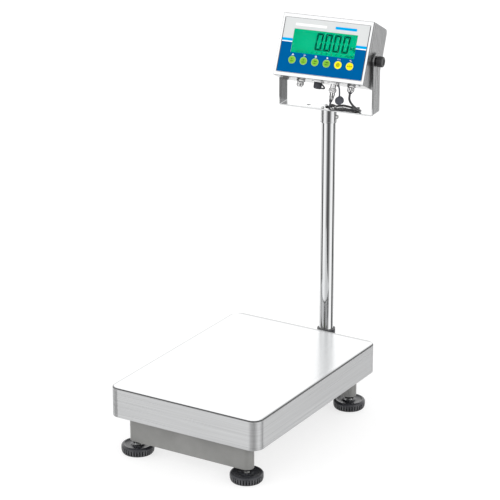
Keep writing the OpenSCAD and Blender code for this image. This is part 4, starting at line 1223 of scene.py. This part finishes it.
def foot_disc(tag):
    """A ribbed foot: tapered lower edge, ribs that run out under a rounded shoulder, and a dished top round a hub."""
    low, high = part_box(f"foot_disc_{tag}")
    r, h = (high.x - low.x) / 2 - 0.0001, high.z - low.z
    stud = (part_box(f"foot_stud_{tag}")[1].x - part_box(f"foot_stud_{tag}")[0].x) / 2 + 0.00015
    rib_low, rib_high = 0.0006, h * 0.74

    def ribs(radius, z, angle):
        if radius < r * 0.9 or z > rib_high:
            return radius
        fade = min(1.0, (rib_high - z) / 0.0022, max(0.0, z - rib_low) / 0.0012)
        groove = max(0.0, math.cos(FOOT_RIBS * angle)) ** 0.6
        return radius - RIB_DEPTH * fade * groove

    profile = [(0.0, 0.0), (r - 0.0044, 0.0), (r - 0.0026, 0.0006), (r - 0.0014, 0.0020), (r - 0.0006, 0.0042),
               (r - 0.0002, 0.0068), (r, h * 0.60), (r, h * 0.68), (r, h * 0.74), (r, h * 0.78),
               (r - 0.0005, h * 0.86), (r - 0.0015, h * 0.93), (r - 0.0029, h * 0.98), (r - 0.0040, h),
               (r - 0.0050, h * 0.995), (r - 0.0060, h * 0.96), (r - 0.0085, h * 0.90), (r - 0.0130, h * 0.86),
               (0.0125, h * 0.85), (0.0120, h * 0.86), (0.0117, h * 0.92), (0.0108, h * 0.95),
               (0.0078, h * 0.95), (0.0070, h * 0.92), (stud, h * 0.90), (stud, 0.0050), (0.0, 0.0050)]
    bm = bmesh.new()
    # Painted shade on the groove bottoms (material 1), painted highlight on the rib faces (material 2).
    for f in lathe(bm, profile, FOOT_RIBS * 8, 0, ribs):
        at = f.calc_center_median()
        if r * 0.88 < math.hypot(at.x, at.y) < ribs(r, at.z, 0.0) + RIB_DEPTH * 0.45 and rib_low < at.z < rib_high * 0.95:
            f.material_index = 1
        elif math.hypot(at.x, at.y) > r * 0.9 and rib_low < at.z < rib_high:
            f.material_index = 2
    place(bm, Matrix.Translation(((low.x + high.x) / 2, (low.y + high.y) / 2, low.z)))
    obj = new_object(f"foot_{tag}", bm, [MATERIALS["foot_plastic"], RIB_SHADE, RIB_PAINTED_LIGHT], angle=32)
    return finish_piece(obj, f"disc_{tag}", (f"foot_disc_{tag}",))


# ---------- stage ----------

CAMERA_AT = Vector((1.8975, -3.2004, 1.6461))
LOOK_AT = Vector((-0.0287, -0.0109, 0.3137))


def camera():
    data = bpy.data.cameras.new("camera")
    data.lens = 161.5
    data.sensor_width = 36
    data.clip_end = 200
    obj = bpy.data.objects.new("camera", data)
    bpy.context.scene.collection.objects.link(obj)
    obj.location = CAMERA_AT
    obj.rotation_euler = (LOOK_AT - CAMERA_AT).to_track_quat("-Z", "Y").to_euler()
    bpy.context.scene.camera = obj


def floor():
    """A plain pale floor, lit a little from below like a light table, so that shadows on it stay faint.
    It doesn't show in reflections, which see the studio round it instead."""
    bm = bmesh.new()
    bmesh.ops.create_circle(bm, cap_ends=True, segments=64, radius=60)
    look = Look("floor", (0.36, 0.36, 0.36), 0.9, Emission_Strength=0.72, Specular_IOR_Level=0.0)
    cloud = look.noise(3.0)
    look.set_colour(look.mix(cloud, (0.35, 0.35, 0.35), (0.37, 0.37, 0.37)))
    look.shader.inputs["Emission Color"].default_value = (1, 1, 1, 1)
    obj = new_object("floor", bm, [look.material], smooth=False)
    obj.location.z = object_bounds()[0].z - 0.0002
    obj.visible_glossy = False
    obj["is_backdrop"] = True


def area(name, at, towards, size, power, colour=(1, 1, 1)):
    data = bpy.data.lights.new(name, "AREA")
    data.shape = "RECTANGLE"
    data.size, data.size_y = size
    data.energy = power
    data.color = colour
    obj = bpy.data.objects.new(name, data)
    bpy.context.scene.collection.objects.link(obj)
    obj.location = at
    obj.rotation_euler = (Vector(towards) - Vector(at)).to_track_quat("-Z", "Y").to_euler()
    obj.visible_glossy = False


# Brightness round the room by azimuth, 0 towards the photographer and 1 straight away: what upright
# steel reflects, which is low down, and what leaning and level steel reflects, higher up
LOW_RING = ((0.0, 0.10), (0.07, 0.13), (0.14, 0.50), (0.24, 1.28), (0.40, 1.28), (0.46, 0.10), (0.58, 0.10),
            (0.62, 1.35), (0.655, 1.35), (0.70, 0.35), (0.73, 0.45), (0.79, 1.30), (1.0, 1.40))
MID_RING = ((0.0, 1.15), (0.14, 1.30), (0.28, 1.95), (0.42, 1.45), (0.56, 1.25), (0.72, 1.55), (1.0, 1.65))
CEILING = 0.58


def studio():
    """A dim room with two broad soft boxes in front and a white backdrop behind, as plain gradients by direction."""
    world = bpy.data.worlds.new("studio")
    bpy.context.scene.world = world
    world.use_nodes = True
    tree = world.node_tree
    background = next(n for n in tree.nodes if n.type == "BACKGROUND")

    def node(kind, **props):
        n = tree.nodes.new(kind)
        for key, value in props.items():
            setattr(n, key, value)
        return n

    sep = node("ShaderNodeSeparateXYZ")
    tree.links.new(node("ShaderNodeTexCoord").outputs["Generated"], sep.inputs[0])
    # azimuth round Z, 0 towards the photographer, as a share of half a turn
    towards = math.atan2(CAMERA_AT.x - LOOK_AT.x, -(CAMERA_AT.y - LOOK_AT.y))
    cos_a = node("ShaderNodeVectorMath", operation="DOT_PRODUCT")
    tree.links.new(node("ShaderNodeTexCoord").outputs["Generated"], cos_a.inputs[0])
    cos_a.inputs[1].default_value = (math.sin(towards), -math.cos(towards), 0)
    flat = node("ShaderNodeMath", operation="MULTIPLY")
    tree.links.new(sep.outputs[2], flat.inputs[0])
    tree.links.new(sep.outputs[2], flat.inputs[1])
    rest = node("ShaderNodeMath", operation="SUBTRACT")
    rest.inputs[0].default_value = 1.0
    tree.links.new(flat.outputs[0], rest.inputs[1])
    level = node("ShaderNodeMath", operation="SQRT")
    tree.links.new(rest.outputs[0], level.inputs[0])
    share = node("ShaderNodeMath", operation="DIVIDE")
    tree.links.new(cos_a.outputs["Value"], share.inputs[0])
    tree.links.new(level.outputs[0], share.inputs[1])
    arc = node("ShaderNodeMath", operation="ARCCOSINE")
    tree.links.new(share.outputs[0], arc.inputs[0])
    turn = node("ShaderNodeMath", operation="DIVIDE")
    tree.links.new(arc.outputs[0], turn.inputs[0])
    turn.inputs[1].default_value = math.pi

    def ring(stops):
        n = node("ShaderNodeValToRGB")
        tree.links.new(turn.outputs[0], n.inputs["Fac"])
        while len(n.color_ramp.elements) < len(stops):
            n.color_ramp.elements.new(0.5)
        for element, (position, value) in zip(n.color_ramp.elements, stops):
            element.position = position
            element.color = (value, value, value, 1)
        return n.outputs["Color"]

    def blend(below, above, start, end):
        """Goes from one brightness to the other as the height of the direction rises."""
        lift = node("ShaderNodeMapRange", interpolation_type="SMOOTHSTEP")
        tree.links.new(sep.outputs[2], lift.inputs["Value"])
        lift.inputs["From Min"].default_value = start
        lift.inputs["From Max"].default_value = end
        n = node("ShaderNodeMix", data_type="RGBA")
        tree.links.new(lift.outputs["Result"], n.inputs["Factor"])
        tree.links.new(below, n.inputs[6])
        if isinstance(above, float):
            n.inputs[7].default_value = (above, above, above, 1)
        else:
            tree.links.new(above, n.inputs[7])
        return n.outputs[2]

    walls = blend(ring(LOW_RING), ring(MID_RING), -0.05, 0.08)
    tree.links.new(blend(walls, CEILING, 0.55, 0.85), background.inputs["Color"])
    background.inputs["Strength"].default_value = 1.0


camera()
floor()
studio()
area("key", (-2.6, -2.6, 3.2), (0, 0, 0.2), (2.4, 2.4), 14)
area("fill", (3.0, -0.6, 2.4), (0, 0, 0.3), (2.0, 2.0), 5)
bpy.context.scene.view_settings.view_transform = "Standard"
bpy.context.scene.view_settings.look = "None"

dress_cad_nodes()
bevel_cad_nodes()
overlay_print()
key_icons()
for number in range(1, 7):
    key_piece(number)
display_segments()
gland(PORT_X[0], True)
gland(PORT_X[3], False)
panel_socket(PORT_X[1], True)
panel_socket(PORT_X[2], False)
rubber_cap()
plug()
coupling_ring()
hanging_cap()
lead_loops()
lead_risers()
hank()
cable_tie()
for foot in ("fl", "fr", "rl", "rr"):
    foot_thread(foot)
    foot_disc(foot)
